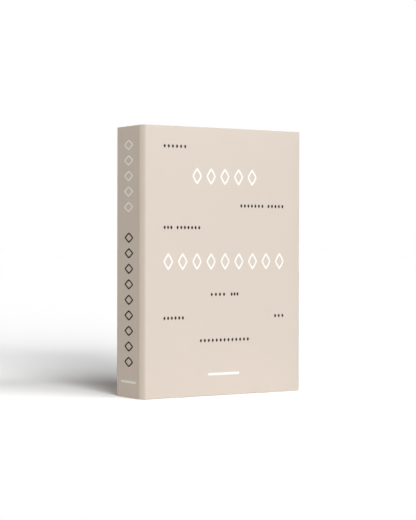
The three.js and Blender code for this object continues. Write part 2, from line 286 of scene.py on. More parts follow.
def wrapped_slab(name, lo, hi, mat, r=R_EDGE, thick=PAPER, open_sides=(), windows=None,
                 step=12.0, cuts=((), (), ())):
    """A sheet wrapped round a board: a slab with rounded edges, left open on some sides.

    An open side, such as "-x", is neither covered nor rounded. windows gives a side's uncovered
    part, as {"+y": (x0, x1, z0, z1)}. cuts are extra grid places along x, y and z.
    """
    r_lo = [0.0 if "-" + axis in open_sides else r for axis in "xyz"]
    r_hi = [0.0 if "+" + axis in open_sides else r for axis in "xyz"]
    grid = []
    for a in range(3):
        places = grid_places(lo[a], hi[a], r_lo[a], r_hi[a], step)
        grid.append(sorted(set(round(v, 6) for v in [*places, *cuts[a]])))
    core_lo = [lo[a] + r_lo[a] for a in range(3)]
    core_hi = [hi[a] - r_hi[a] for a in range(3)]
    verts, normals, index, faces = [], [], {}, []

    def vertex(p):
        """The number of the vertex that box point p becomes once the edges are rounded."""
        key = tuple(round(c, 5) for c in p)
        if key not in index:
            core = [min(max(p[a], core_lo[a]), core_hi[a]) for a in range(3)]
            normal = [p[a] - core[a] for a in range(3)]
            length = math.sqrt(sum(v * v for v in normal))
            if length > 1e-9:
                normal = [v / length for v in normal]
                p = [core[a] + normal[a] * r for a in range(3)]
            else:
                normal = [0, 0, 0]
            index[key] = len(verts)
            verts.append(list(p))
            normals.append(normal)
        return index[key]

    for a, axis in enumerate("xyz"):
        b, c = [i for i in range(3) if i != a]
        for side, level in (("-", lo[a]), ("+", hi[a])):
            if side + axis in open_sides:
                continue
            window = (windows or {}).get(side + axis)
            for b0, b1 in zip(grid[b], grid[b][1:]):
                for c0, c1 in zip(grid[c], grid[c][1:]):
                    mid_b, mid_c = (b0 + b1) / 2, (c0 + c1) / 2
                    if (window and window[0] < mid_b < window[1]
                            and window[2] < mid_c < window[3]):
                        continue
                    quad = []
                    for u, v in ((b0, c0), (b1, c0), (b1, c1), (b0, c1)):
                        p = [0, 0, 0]
                        p[a], p[b], p[c] = level, u, v
                        quad.append(vertex(p))
                    faces.append(quad if (side == "+") == (a != 1) else quad[::-1])
    # the same sheet again, its thickness further in, and a rim along every free edge
    count = len(verts)
    inner = [[v[k] - normal[k] * thick for k in range(3)] for v, normal in zip(verts, normals)]
    edges = dict.fromkeys((f[k], f[(k + 1) % len(f)]) for f in faces for k in range(len(f)))
    rim = [[v, u, u + count, v + count] for u, v in edges if (v, u) not in edges]
    inner_faces = [[i + count for i in f[::-1]] for f in faces]
    return mesh_obj(name, verts + inner, faces + inner_faces + rim, mat)


def rounded_rect(x0, x1, z0, z1, r, n=5):
    pts = []
    for cx, cz, start in ((x1 - r, z1 - r, 0), (x0 + r, z1 - r, 90),
                          (x0 + r, z0 + r, 180), (x1 - r, z0 + r, 270)):
        for k in range(n + 1):
            t = math.radians(start + 90 * k / n)
            pts.append((cx + r * math.cos(t), cz + r * math.sin(t)))
    return pts


# ------------------------------------------------------------------ shader helpers
class Value:
    """A node's output; arithmetic on it adds Math nodes."""

    def __init__(self, graph, socket):
        self.graph = graph
        self.socket = socket

    def __add__(self, other):
        return self.graph.math("ADD", self, other)

    def __sub__(self, other):
        return self.graph.math("SUBTRACT", self, other)

    def __rsub__(self, other):
        return self.graph.math("SUBTRACT", other, self)

    def __mul__(self, other):
        return self.graph.math("MULTIPLY", self, other)

    def __abs__(self):
        return self.graph.math("ABSOLUTE", self)


def rgba(sockets, name=None):
    return [s for s in sockets if s.type == "RGBA" and name in (None, s.name)][0]


class Graph:
    """Adds nodes to a node tree."""

    def __init__(self, tree):
        self.tree = tree
        self.object_coords = None

    def node(self, kind, **settings):
        n = self.tree.nodes.new(kind)
        for key, value in settings.items():
            setattr(n, key, value)
        return n

    def plug(self, socket, value):
        """Links a Value to an input, or sets the input to a number, vector or RGB colour."""
        if isinstance(value, Value):
            self.tree.links.new(value.socket, socket)
        elif socket.type == "RGBA":
            socket.default_value = (*value, 1)
        else:
            socket.default_value = value

    def position(self):
        if self.object_coords is None:
            coords_node = self.node("ShaderNodeTexCoord")
            self.object_coords = Value(self, coords_node.outputs["Object"])
        return self.object_coords

    def mapping(self, stretch, rot, source):
        n = self.node("ShaderNodeMapping")
        self.plug(n.inputs["Scale"], stretch)
        self.plug(n.inputs["Rotation"], rot)
        self.plug(n.inputs["Vector"], source or self.position())
        return Value(self, n.outputs["Vector"])

    def noise(self, scale, detail, roughness, distortion=0.0,
              stretch=(1, 1, 1), rot=(0, 0, 0), source=None):
        vector = self.mapping(stretch, rot, source)
        n = self.node("ShaderNodeTexNoise")
        for key, value in (("Scale", scale), ("Detail", detail), ("Roughness", roughness),
                           ("Distortion", distortion), ("Vector", vector)):
            self.plug(n.inputs[key], value)
        return Value(self, n.outputs["Fac"])

    def voronoi(self, scale, stretch):
        vector = self.mapping(stretch, (0, 0, 0), None)
        n = self.node("ShaderNodeTexVoronoi", feature="F1")
        self.plug(n.inputs["Scale"], scale)
        self.plug(n.inputs["Vector"], vector)
        return Value(self, n.outputs["Distance"])

    def math(self, operation, *values):
        n = self.node("ShaderNodeMath", operation=operation)
        for socket, value in zip(n.inputs, values):
            self.plug(socket, value)
        return Value(self, n.outputs[0])

    def wave(self, value, length):
        """A sine of the given wavelength."""
        return self.math("SINE", value * (2 * math.pi / length))

    def ramp(self, fac, stops):
        n = self.node("ShaderNodeValToRGB")
        elements = n.color_ramp.elements
        while len(elements) < len(stops):
            elements.new(0.5)
        for element, (position, colour) in zip(elements, stops):
            element.position = position
            element.color = (*colour, 1)
        self.plug(n.inputs["Fac"], fac)
        return Value(self, n.outputs["Color"])

    def tone_ramp(self, fac, base, at, dark, light, lift=0.0):
        """From a darker to a lighter shade of base, which lies at the middle place of at."""
        return self.ramp(fac, [(at[0], shade(base, dark)), (at[1], base),
                               (at[2], shade(base, light, lift))])

    def remap(self, value, span, to):
        n = self.node("ShaderNodeMapRange", clamp=True)
        self.plug(n.inputs["Value"], value)
        for key, x in zip(("From Min", "From Max", "To Min", "To Max"), (*span, *to)):
            n.inputs[key].default_value = x
        return Value(self, n.outputs["Result"])

    def mix(self, fac, a, b):
        n = self.node("ShaderNodeMix", data_type="RGBA")
        self.plug(n.inputs["Factor"], fac)
        self.plug(rgba(n.inputs, "A"), a)
        self.plug(rgba(n.inputs, "B"), b)
        return Value(self, rgba(n.outputs))

    def bump(self, height, strength, distance, over=None):
        """Relief, distance in metres, added to the normal given as over."""
        n = self.node("ShaderNodeBump")
        self.plug(n.inputs["Strength"], strength)
        self.plug(n.inputs["Distance"], distance)
        self.plug(n.inputs["Height"], height)
        if over is not None:
            self.plug(n.inputs["Normal"], over)
        return Value(self, n.outputs["Normal"])

    def split(self, vector):
        n = self.node("ShaderNodeSeparateXYZ")
        self.plug(n.inputs[0], vector)
        return [Value(self, s) for s in n.outputs]

    def weave(self):
        """The mesh's weave attribute: mm across, along and through the cloth."""
        n = self.node("ShaderNodeAttribute", attribute_name="weave", attribute_type="GEOMETRY")
        return Value(self, n.outputs["Vector"])


class Material(Graph):
    """A node graph that ends in a Principled BSDF."""

    INPUTS = dict(colour="Base Color", roughness="Roughness", specular="Specular IOR Level",
                  metallic="Metallic", sheen="Sheen Weight", sheen_roughness="Sheen Roughness",
                  normal="Normal")

    def __init__(self, name):
        self.material = bpy.data.materials.new(name)
        self.material.use_nodes = True
        super().__init__(self.material.node_tree)

    def surface(self, **values):
        """Fills the named inputs and returns the material."""
        bsdf = self.tree.nodes["Principled BSDF"]
        for key, value in values.items():
            self.plug(bsdf.inputs[self.INPUTS[key]], value)
        return self.material


def linear(*rgb):
    """sRGB 0-255 to linear."""
    scaled = [c / 255 for c in rgb]
    return tuple(c / 12.92 if c <= 0.04045 else ((c + 0.055) / 1.055) ** 2.4 for c in scaled)


def shade(colour, factor, lift=0.0):
    return tuple(min(1, c * factor + lift) for c in colour)


# ------------------------------------------------------------------ materials
def rubbed_edges(g, colour, base):
    """Dulls a colour in a ragged band along the box's outside edges. Lengths in metres."""
    x, y, z = g.split(g.position())
    dx, dy, dz = [g.math("MINIMUM", abs(c - lo * MM), abs(c - hi * MM))
                  for c, lo, hi in ((x, SPINE_X, FORE_X), (y, FRONT_Y, BACK_Y), (z, TAIL_Z, HEAD_Z))]
    # the two smallest of the three face distances say how near an edge is
    largest = g.math("MAXIMUM", g.math("MAXIMUM", dx, dy), dz)
    total = dx + dy + dz
    smallest = g.math("MINIMUM", g.math("MINIMUM", dx, dy), dz)
    middle = total - largest - smallest
    edge = middle + smallest
    ragged = edge + (g.noise(scale=420, detail=4, roughness=0.7) - 0.5) * 0.0009
    rub = g.remap(ragged, span=(0.00002, 0.00065), to=(1.0, 0.0))
    patches = g.noise(scale=60, detail=3, roughness=0.6)
    rub = rub * g.remap(patches, span=(0.3, 0.7), to=(0.25, 0.8))
    return g.mix(rub, colour, shade(base, 0.86))


def paper_material(name, base, fibre, mottle, rough, edge_wear=False):
    """Matt paper: fine felt tooth, short fibres, faint cloudiness, and perhaps rubbed edges.

    fibre scales the fibres' tone and relief, mottle the unevenness of the colour.
    """
    g = Material(name)
    cloud = g.noise(scale=22, detail=5, roughness=0.6)
    speck = g.noise(scale=2600, detail=2, roughness=0.7)
    fibre_a = g.noise(scale=900, detail=3, roughness=0.65, distortion=0.6, stretch=(1, 1, 6))
    fibre_b = g.noise(scale=700, detail=3, roughness=0.65, distortion=0.6, stretch=(5, 5, 1))
    tone = ((cloud - 0.5) * (mottle * 2.2)
            + ((fibre_a + fibre_b) * 0.5 - 0.5) * (mottle * 2.0 * fibre))
    tone = tone + (speck - 0.5) * (mottle * 1.1)
    bright = g.node("ShaderNodeHueSaturation")
    g.plug(bright.inputs["Color"], base)
    g.plug(bright.inputs["Value"], tone + 1.0)
    colour = Value(g, bright.outputs["Color"])
    if edge_wear:
        colour = rubbed_edges(g, colour, base)
    roughness = (fibre_a - 0.5) * 0.12 + rough
    normal = g.bump((fibre_a + fibre_b) * 0.5, strength=0.35, distance=0.00012 * fibre)
    normal = g.bump(speck, strength=0.25, distance=0.00005 * fibre, over=normal)
    normal = g.bump(cloud, strength=0.5, distance=0.0004, over=normal)
    return g.surface(colour=colour, roughness=roughness, specular=0.32, sheen=0.06,
                     sheen_roughness=0.6, normal=normal)


def board_material(name, base):
    """Raw greyboard: flecked, layered pulp."""
    g = Material(name)
    fleck = g.voronoi(scale=900, stretch=(1, 1, 2.2))
    pulp = g.noise(scale=340, detail=6, roughness=0.7)
    layers = g.noise(scale=60, detail=2, roughness=0.5, stretch=(30, 1, 1))
    colour = g.tone_ramp(pulp * 0.8 + layers * 0.2, base, at=(0.3, 0.55, 0.75),
                         dark=0.78, light=1.16)
    flecked = g.remap(fleck, span=(0.0, 0.22), to=(0.5, 0.0))
    colour = g.mix(flecked, colour, shade(base, 0.45))
    return g.surface(colour=colour, roughness=pulp * 0.1 + 0.86, specular=0.2,
                     normal=g.bump(pulp + fleck, strength=0.5, distance=0.0002))


def ink_material(name, base, rough):
    """Printed film of ink: the paper's tooth shows through, and its density isn't even."""
    g = Material(name)
    tooth = g.noise(scale=1100, detail=3, roughness=0.7, stretch=(1, 1, 4))
    density = g.noise(scale=240, detail=3, roughness=0.6)
    colour = g.tone_ramp(tooth * 0.5 + density * 0.5, base, at=(0.25, 0.6, 0.8),
                         dark=0.9, light=1.05, lift=0.004)
    return g.surface(colour=colour, roughness=tooth * 0.15 + rough, specular=0.35,
                     normal=g.bump(tooth, strength=0.3, distance=0.00004))


def hinge_cloth_material(name, base):
    """Fine bookbinding cloth: an even open weave under a thin filler."""
    g = Material(name)
    thread_pair = 0.0007        # wavelength of the weave, metres
    x, y, z = g.split(g.position())
    weave = g.wave(x - y, thread_pair) * g.wave(z, thread_pair)
    cloud = g.noise(scale=120, detail=4, roughness=0.6)
    slub = g.noise(scale=900, detail=3, roughness=0.7, stretch=(1, 1, 0.15))
    colour = g.tone_ramp(cloud * 0.6 + slub * 0.4, base, at=(0.3, 0.6, 0.8),
                         dark=0.88, light=1.07)
    return g.surface(colour=colour, roughness=slub * 0.15 + 0.72, specular=0.3, sheen=0.12,
                     normal=g.bump(weave, strength=0.35, distance=0.0001))


def glass_cloth_material(name, base):
    """Woven glass cloth: plain weave, a silky sheen, and painted shade that darkens it where the cloth folds in."""
    g = Material(name)
    pitch = 1.05                # from thread to thread, mm
    weave = g.weave()
    across, along, through = g.split(weave)
    wave_u = g.wave(across, 2 * pitch)
    wave_v = g.wave(along, 2 * pitch)
    warp_up = g.remap(wave_u * wave_v, span=(-0.15, 0.15), to=(0.0, 1.0))
    # threads are round across their own direction
    round_u = abs(wave_u)
    round_v = abs(wave_v)
    height = round_u * warp_up + round_v * (1.0 - warp_up)
    layer = g.wave(through, 0.72)
    thread_u = g.noise(scale=1.1, detail=3, roughness=0.6, stretch=(6.0, 0.25, 0.5), source=weave)
    thread_v = g.noise(scale=1.1, detail=3, roughness=0.6, stretch=(0.25, 6.0, 0.5), source=weave)
    slub = (thread_u + thread_v) * 0.5
    cloud = g.noise(scale=24, detail=4, roughness=0.55)
    # the threads' height also tints the colour: painted shade in the hollows between threads, lighter crowns; slub and
    # cloud are the yarn's own uneven tone
    tone = slub * 0.45 + (cloud * 0.3 + height * 0.25)
    colour = g.tone_ramp(tone, base, at=(0.25, 0.5, 0.75), dark=0.72, light=1.1, lift=0.01)
    colour = g.mix(warp_up * 0.18, colour, linear(182, 178, 165))
    # painted shade: where ambient occlusion finds the cloth folded in, the colour is darkened
    occlusion = g.node("ShaderNodeAmbientOcclusion", samples=6)
    g.plug(occlusion.inputs["Distance"], 0.004)
    painted_crease_shade = g.remap(Value(g, occlusion.outputs["AO"]), span=(0.35, 0.95), to=(0.42, 0.0))
    colour = g.mix(painted_crease_shade, colour, shade(base, 0.5))
    roughness = slub * 0.22 + (0.55 - height * 0.12)
    normal = g.bump(height, strength=0.55, distance=0.00028)
    normal = g.bump(layer, strength=0.5, distance=0.00035, over=normal)
    normal = g.bump(slub, strength=0.4, distance=0.0003, over=normal)
    normal = g.bump(cloud, strength=0.5, distance=0.002, over=normal)
    return g.surface(colour=colour, roughness=roughness, specular=0.45, sheen=0.35,
                     sheen_roughness=0.35, normal=normal)


def webbing_material(name, base):
    """Webbing: herringbone ribs, a plain selvedge, a dull sheen and a few pale scuffs."""
    g = Material(name)
    column = 4.1                # width of one herringbone column, mm
    weave = g.weave()
    across, along, _ = g.split(weave)
    zigzag = g.math("PINGPONG", across + 30.0, column / 2)
    rib = g.wave(along + zigzag, 1.25)
    pick = g.wave(across, 0.9)
    selvedge = g.remap(abs(across), span=(10.9, 11.3), to=(0.0, 1.0))
    selvedge_rib = g.wave(along, 0.95)
    rib = rib * (1.0 - selvedge) + selvedge_rib * selvedge
    height = rib * 0.7 + pick * 0.3
    fuzz = g.noise(scale=2.2, detail=4, roughness=0.7, stretch=(1.6, 1.0, 1.0), source=weave)
    # the ribs' height also tints the colour: painted shade in the hollows between ribs, lighter crowns; fuzz is the
    # yarn's own uneven tone
    colour = g.tone_ramp(height * 0.16 + fuzz, base, at=(0.3, 0.55, 0.8),
                         dark=0.5, light=1.9, lift=0.01)
    scuff = g.noise(scale=0.55, detail=5, roughness=0.75, stretch=(0.5, 2.2, 1.0), source=weave)
    scuff = g.remap(scuff, span=(0.62, 0.78), to=(0.0, 0.3))
    colour = g.mix(scuff, colour, shade(base, 3.2, lift=0.02))
    roughness = 0.82 - height * 0.1
    normal = g.bump(height, strength=0.8, distance=0.0003)
    normal = g.bump(fuzz, strength=0.4, distance=0.0002, over=normal)
    return g.surface(colour=colour, roughness=roughness, specular=0.35, sheen=0.4,
                     sheen_roughness=0.4, normal=normal)


def thread_material(name, base):
    """Twisted sewing thread."""
    g = Material(name)
    twist = g.noise(scale=2400, detail=2, roughness=0.5, distortion=0.4, rot=(0.7, 0.4, 0.9))
    tone = g.noise(scale=300, detail=3, roughness=0.6)
    colour = g.tone_ramp(twist * 0.6 + tone * 0.4, base, at=(0.3, 0.6, 0.85),
                         dark=0.7, light=1.15)
    return g.surface(colour=colour, roughness=twist * 0.2 + 0.5, sheen=0.25,
                     normal=g.bump(twist, strength=0.6, distance=0.0002))


def magnet_material(name):
    """Plated magnet with fine handling marks."""
    g = Material(name)
    scratch = g.noise(scale=900, detail=4, roughness=0.7, distortion=0.3, stretch=(1, 8, 1))
    blotch = g.noise(scale=160, detail=3, roughness=0.6)
    colour = g.ramp(blotch, [(0.3, linear(150, 150, 152)), (0.7, linear(190, 190, 194))])
    return g.surface(colour=colour, metallic=1.0, roughness=scratch * 0.3 + 0.15,
                     normal=g.bump(scratch, strength=0.2, distance=0.00005))


BEIGE = linear(215, 203, 192)
COVER_PAPER = paper_material("cover_paper", BEIGE, fibre=1.0, mottle=0.016, rough=0.8,
                             edge_wear=True)
# a darker copy of the cover paper: painted shade on the soft corner at the joint
SHADED_JOINT_PAPER = paper_material("cover_paper_joint", shade(BEIGE, 0.90), fibre=1.2, mottle=0.02,
                             rough=0.82, edge_wear=True)
TRAY_PAPER = paper_material("tray_paper", linear(219, 213, 202),
                            fibre=0.8, mottle=0.014, rough=0.82)
KRAFT = paper_material("kraft_paper", linear(190, 160, 118), fibre=1.6, mottle=0.05, rough=0.85)
CARD = paper_material("card_stock", linear(236, 233, 226), fibre=0.5, mottle=0.008, rough=0.6)
GREYBOARD = board_material("greyboard", linear(150, 145, 136))
WHITE_INK = ink_material("ink_white", linear(250, 249, 246), rough=0.45)
DARK_INK = ink_material("ink_dark", linear(42, 37, 35), rough=0.5)
TAN_INK = ink_material("ink_tan", linear(168, 152, 134), rough=0.5)
HINGE_CLOTH = hinge_cloth_material("hinge_cloth", linear(206, 198, 185))
GLASS = glass_cloth_material("glass_cloth", linear(204, 200, 188))
WEBBING = webbing_material("webbing", linear(44, 43, 42))
CLOTH_THREAD = thread_material("cloth_thread", linear(166, 160, 144))
TAB_THREAD = thread_material("tab_thread", linear(205, 200, 188))
MAGNET = magnet_material("magnet")

# the CAD pieces that stay as they are
for material, nodes in (
        (GREYBOARD, ("back_board", "spine_board", "front_board", "tray_base", "tray_tail_wall",
                     "tray_head_wall", "tray_spine_wall", "tray_fore_edge_wall",
                     "fore_edge_rail")),
        (KRAFT, ("corner_stay_tail_spine", "corner_stay_tail_fore_edge",
                 "corner_stay_head_spine", "corner_stay_head_fore_edge")),
        (TRAY_PAPER, ("tray_lining",)),
        (MAGNET, ("tray_magnet_lower", "tray_magnet_upper",
                  "cover_magnet_lower", "cover_magnet_upper"))):
    for node_name in nodes:
        slots = frame["nodes"][node_name].data.materials
        slots.clear()
        slots.append(material)

# ------------------------------------------------------------------ paper on front, back and spine
TURN_X = FORE_X - TURN
TURN_Z = (TAIL_Z + TURN, HEAD_Z - TURN)
PANEL_CUTS = ((TURN_X,), (), TURN_Z)

front = wrapped_slab(
    "cover_wrap_paper", (FRONT_CORNER.x + LEAD, FRONT_Y, TAIL_Z), (FORE_X, cover_hi[1], HEAD_Z),
    COVER_PAPER, open_sides=("-x",), windows={"+y": (FRONT_CORNER.x, TURN_X, *TURN_Z)},
    cuts=PANEL_CUTS)
attach(front, "cover_paper", "cover", "cover_wrap")

back = wrapped_slab(
    "case_wrap_back", (BACK_CORNER.x + LEAD, back_lo[1] - 0.35, TAIL_Z), (FORE_X, BACK_Y, HEAD_Z),
    COVER_PAPER, open_sides=("-x",), windows={"-y": (BACK_CORNER.x - 1, TURN_X, *TURN_Z)},
    cuts=PANEL_CUTS)
attach(back, "cover_paper", "case", "case_wrap")

SPINE_SHORT = 0.005     # keeps the spine's ends out of the plane of the back's where they cross
spine = wrapped_slab(
    "case_wrap_spine", (SPINE_X, FRONT_CORNER.y + LEAD, TAIL_Z + SPINE_SHORT),
    (spine_hi[0] + 0.35, BACK_CORNER.y - LEAD, HEAD_Z - SPINE_SHORT),
    COVER_PAPER, open_sides=("-y", "+y"),
    windows={"+x": (FRONT_CORNER.y - 1, BACK_CORNER.y + 1, *TURN_Z)}, cuts=((), (), TURN_Z))
attach(spine, "cover_paper", "case")


# ------------------------------------------------------------------ soft corners of the case
def corner_cos_sin(degrees):
    t = math.radians(degrees)
    return max(0.0, math.cos(t)), max(0.0, math.sin(t))


def corner_point(corner, degrees, inset):
    """A point inset below a soft corner's face: 0 degrees is at the spine, 90 at the panel."""
    c, s = corner_cos_sin(degrees)
    return (corner.x - (corner.width - inset) * c ** corner.flat,
            corner.y + corner.side * (corner.depth - inset) * s ** corner.flat)


def corner_normal(corner, degrees):
    c, s = corner_cos_sin(degrees)
    nx = -(c ** (2 - corner.flat)) / corner.width
    ny = corner.side * s ** (2 - corner.flat) / corner.depth
    length = math.hypot(nx, ny)
    return nx / length, ny / length


def joint_sheet(name, corner, inset, thick, z0, z1, r_end, lead, mat, n_arc):
    """A sheet round a soft corner, from the spine panel to the front or back panel, with its
    ends rolled over at head and tail. It starts and ends with a flat strip, lead wide."""
    side = corner.side
    path = [(SPINE_X + inset, corner.y - side * lead, (-1.0, 0.0))]
    for k in range(n_arc + 1):
        degrees = 90.0 * k / n_arc
        path.append((*corner_point(corner, degrees, inset), corner_normal(corner, degrees)))
    path.append((corner.x + lead, corner.y + side * (corner.depth - inset), (0.0, float(side))))

    quarter = [math.radians(90 * k / 4) for k in range(5)]
    n_z = 24

    def face_profile(depth):
        """One face of the sheet, from tail to head: (how far below the outer face, z)."""
        r = r_end - depth
        tail = [(r_end - r * math.sin(t), z0 + r_end - r * math.cos(t)) for t in quarter]
        middle = [(depth, z0 + r_end + (z1 - z0 - 2 * r_end) * k / n_z) for k in range(1, n_z)]
        head = [(r_end - r * math.sin(t), z1 - r_end + r * math.cos(t)) for t in quarter[::-1]]
        return tail + middle + head

    profile = face_profile(0.0) + face_profile(thick)[::-1]
    rings = [[(x - nx * d, y - ny * d, z) for d, z in profile] for x, y, (nx, ny) in path]
    return sheet_loft(name, rings, mat)


# the hinge bends between two places on the line from the spine's to the front's edge, in metres
BEND_FROM = Vector((SPINE_X, FRONT_CORNER.y, 135.0)) * MM
BEND_TO = Vector((FRONT_CORNER.x, FRONT_Y, 135.0)) * MM
BEND_START = BEND_FROM + (BEND_TO - BEND_FROM) * 0.42
BEND_END = BEND_FROM + (BEND_TO - BEND_FROM) * 0.83

back_corner = joint_sheet("case_wrap_back_corner", BACK_CORNER, inset=0.0, thick=PAPER,
                          z0=TAIL_Z, z1=HEAD_Z, r_end=R_EDGE, lead=LEAD, mat=COVER_PAPER, n_arc=8)
attach(back_corner, "cover_paper", "case")

# the hinge's paper is the darker copy of the cover paper, painted shade on the soft corner
hinge = joint_sheet("case_wrap_hinge", FRONT_CORNER, inset=0.0, thick=PAPER,
                    z0=TAIL_Z, z1=HEAD_Z, r_end=R_EDGE, lead=LEAD, mat=SHADED_JOINT_PAPER, n_arc=44)
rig.slot(hinge, "cover_paper")
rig.blend(hinge, "case", "cover", start=BEND_START, end=BEND_END)


# ------------------------------------------------------------------ printed and raised shapes
def marks(name, point, shapes, mat, up=0.03, down=0.005):
    """Thin closed prisms on one face, as (outline, hole or None) pairs in the face's u and v.
    point(u, v, d) gives the place at a height d above the face."""
    verts, faces = [], []
    for outer, inner in shapes:
        n, b = len(outer), len(verts)
        for loop in [outer] + ([inner] if inner else []):
            for d in (-down, up):
                verts += [point(u, v, d) for u, v in loop]
        for k in range(n):
            k2 = (k + 1) % n
            faces.append([b + k, b + k2, b + n + k2, b + n + k])
            if inner:
                faces.append([b + 2 * n + k2, b + 2 * n + k, b + 3 * n + k, b + 3 * n + k2])
                faces.append([b + n + k, b + n + k2, b + 3 * n + k2, b + 3 * n + k])
                faces.append([b + k2, b + k, b + 2 * n + k, b + 2 * n + k2])
        if not inner:
            faces.append(list(range(b + n, b + 2 * n)))
            faces.append(list(range(b, b + n))[::-1])
    return mesh_obj(name, verts, faces, mat, 30)


def lozenge(u, v, w, h, soft=1.18, n=32):
    """A lozenge centred on u, v: soft is 1 for straight sides, 2 for an ellipse."""
    pts = []
    for k in range(n):
        t = 2 * math.pi * k / n
        c, s = math.cos(t), math.sin(t)
        pts.append((u + w / 2 * math.copysign(abs(c) ** (2 / soft), c),
                    v + h / 2 * math.copysign(abs(s) ** (2 / soft), s)))
    return pts


def lozenge_ring(u, v, w, h, stroke):
    a, b = w / 2, h / 2
    scale = 1 - stroke / (a * b / math.hypot(a, b))
    return lozenge(u, v, w, h), lozenge(u, v, w * scale, h * scale)


def bar(u0, u1, v0, v1, r):
    return rounded_rect(u0, u1, v0, v1, min(r, (u1 - u0) / 2.01, (v1 - v0) / 2.01), 4), None


def border(u0, u1, v0, v1, r, stroke):
    return (rounded_rect(u0, u1, v0, v1, r),
            rounded_rect(u0 + stroke, u1 - stroke, v0 + stroke, v1 - stroke, max(0.2, r - stroke)))


def lozenge_row(u0, u1, v, w=2.6, h=3.9, pitch=4.6):
    """Solid lozenges in a row that fills u0 to u1 evenly, about pitch apart."""
    n = max(2, int(round((u1 - u0 - w) / pitch)) + 1)
    gap = (u1 - u0 - w) / (n - 1)
    return [(lozenge(u0 + w / 2 + k * gap, v, w, h, 1.3, 16), None) for k in range(n)]


# ------------------------------------------------------------------ pattern on front and spine
def on_front(u, v, d):
    return (SPINE_X + u, FRONT_Y - d, v)


def on_spine(u, v, d):
    return (SPINE_X - d, FRONT_Y + u, v)


shapes = [lozenge_ring(63.2 + 16.6 * k, 220.9, w=11.0, h=16.8, stroke=1.55) for k in range(5)]
shapes += [lozenge_ring(29.6 + 16.79 * k, 135.4, w=11.0, h=17.2, stroke=1.55) for k in range(9)]
shapes += [bar(76.6, 114.5, 20.6, 23.2, r=1.2)]
attach(marks("front_pattern_light", on_front, shapes, WHITE_INK), "cover_paper", "cover")

FRONT_ROWS = (      # u from, u to, v of each row of small lozenges
    (23.9, 50.3, 249.9),
    (115.1, 143.8, 191.8), (148.8, 168.9, 191.8),
    (24.1, 34.4, 169.3), (39.1, 67.0, 169.3),
    (79.6, 96.9, 102.2), (103.6, 113.2, 102.2),
    (24.0, 48.0, 79.4), (157.5, 169.3, 79.1),
    (66.7, 126.1, 56.0),
)
shapes = [shape for row in FRONT_ROWS for shape in lozenge_row(*row)]
attach(marks("front_pattern_dark", on_front, shapes, DARK_INK), "cover_paper", "cover")

shapes = [lozenge_ring(27.5, 189.5 + 15.42 * k, w=18.0, h=10.4, stroke=1.5) for k in range(5)]
shapes += [bar(12.4, 42.5, 14.6, 16.8, r=1.0)]
attach(marks("spine_pattern_light", on_spine, shapes, WHITE_INK), "cover_paper", "case")
shapes = [lozenge_ring(26.6, 35.6 + 15.43 * k, w=17.0, h=10.4, stroke=1.5) for k in range(9)]
attach(marks("spine_pattern_dark", on_spine, shapes, DARK_INK), "cover_paper", "case")

# ------------------------------------------------------------------ tray: paper with a rounded rim
CAVITY = (tray_lining_lo[0] + 0.2, tray_lining_hi[0] - 0.2,
          tray_lining_lo[2] + 0.2, tray_lining_hi[2] - 0.2)     # x0, x1, z0, z1
OUTSIDE = (tray_lo[0], tray_hi[0], tray_lo[2], tray_hi[2])
RIM_Y, TRAY_BACK_Y, TRAY_FLOOR_Y = tray_lo[1], tray_hi[1], tray_lining_lo[1] - 0.05
R_RIM_OUT, R_RIM_IN = 0.6, 0.5      # the rim's rounding towards the outside and the cavity
WRAP = 0.2                          # thickness of the tray's paper


def tray_ring(wall, grow, y):
    x0, x1, z0, z1 = wall
    r = max(0.15, (0.9 if wall is OUTSIDE else 0.3) + grow)
    return [(x, y, z) for x, z in rounded_rect(x0 - grow, x1 + grow, z0 - grow, z1 + grow, r)]


quarter = [math.radians(18 * k) for k in range(1, 6)]
out_y, in_y = RIM_Y + R_RIM_OUT, RIM_Y + R_RIM_IN
# wall followed, how far outside it, y: over the rim into the cavity and back under the paper
tray_profile = [(OUTSIDE, 0, TRAY_BACK_Y), (OUTSIDE, 0, out_y)]
tray_profile += [(OUTSIDE, -R_RIM_OUT * (1 - math.cos(t)), out_y - R_RIM_OUT * math.sin(t))
                 for t in quarter]
tray_profile += [(CAVITY, R_RIM_IN, RIM_Y)]
tray_profile += [(CAVITY, R_RIM_IN - R_RIM_IN * math.sin(t),
                  RIM_Y + R_RIM_IN * (1 - math.cos(t))) for t in quarter]
tray_profile += [(CAVITY, 0, TRAY_FLOOR_Y), (CAVITY, WRAP, TRAY_FLOOR_Y), (CAVITY, WRAP, in_y),
                 (CAVITY, R_RIM_IN, RIM_Y + WRAP), (OUTSIDE, -R_RIM_OUT, RIM_Y + WRAP),
                 (OUTSIDE, -WRAP, out_y), (OUTSIDE, -WRAP, TRAY_BACK_Y)]
tray = loft("tray_paper_wrap", [tray_ring(*station) for station in tray_profile], TRAY_PAPER,
            smooth_angle=40, close_loop=True, caps=False)
attach(tray, "tray_paper", "case", "tray_wrap")

# lapped ends of the paper on the head and tail walls: name, z of the wall, way the lap faces
for name, z, up in (("tray_lap_head_inside", CAVITY[3], -1), ("tray_lap_tail_inside", CAVITY[2], 1),
                    ("tray_lap_head_outside", OUTSIDE[3], 1),
                    ("tray_lap_tail_outside", OUTSIDE[2], -1)):
    if name.endswith("inside"):
        x0, x1 = CAVITY[:2]
        y0, y1, width = RIM_Y + 1.3, TRAY_FLOOR_Y - 0.2, 13.0
    else:
        x0, x1 = OUTSIDE[:2]
        y0, y1, width = RIM_Y + 1.0, TRAY_BACK_Y - 0.3, 15.0
    shapes = [([(x0 + 0.4, y0), (x0 + width, y0 + 1.6), (x0 + width, y1), (x0 + 0.4, y1)], None),
              ([(x1 - 0.4, y0), (x1 - 0.4, y1), (x1 - width, y1), (x1 - width, y0 + 1.6)], None)]
    lap = marks(name, lambda u, v, d: (u, v, z + up * d), shapes, TRAY_PAPER, up=0.09, down=0.03)
    attach(lap, "tray_paper", "case")

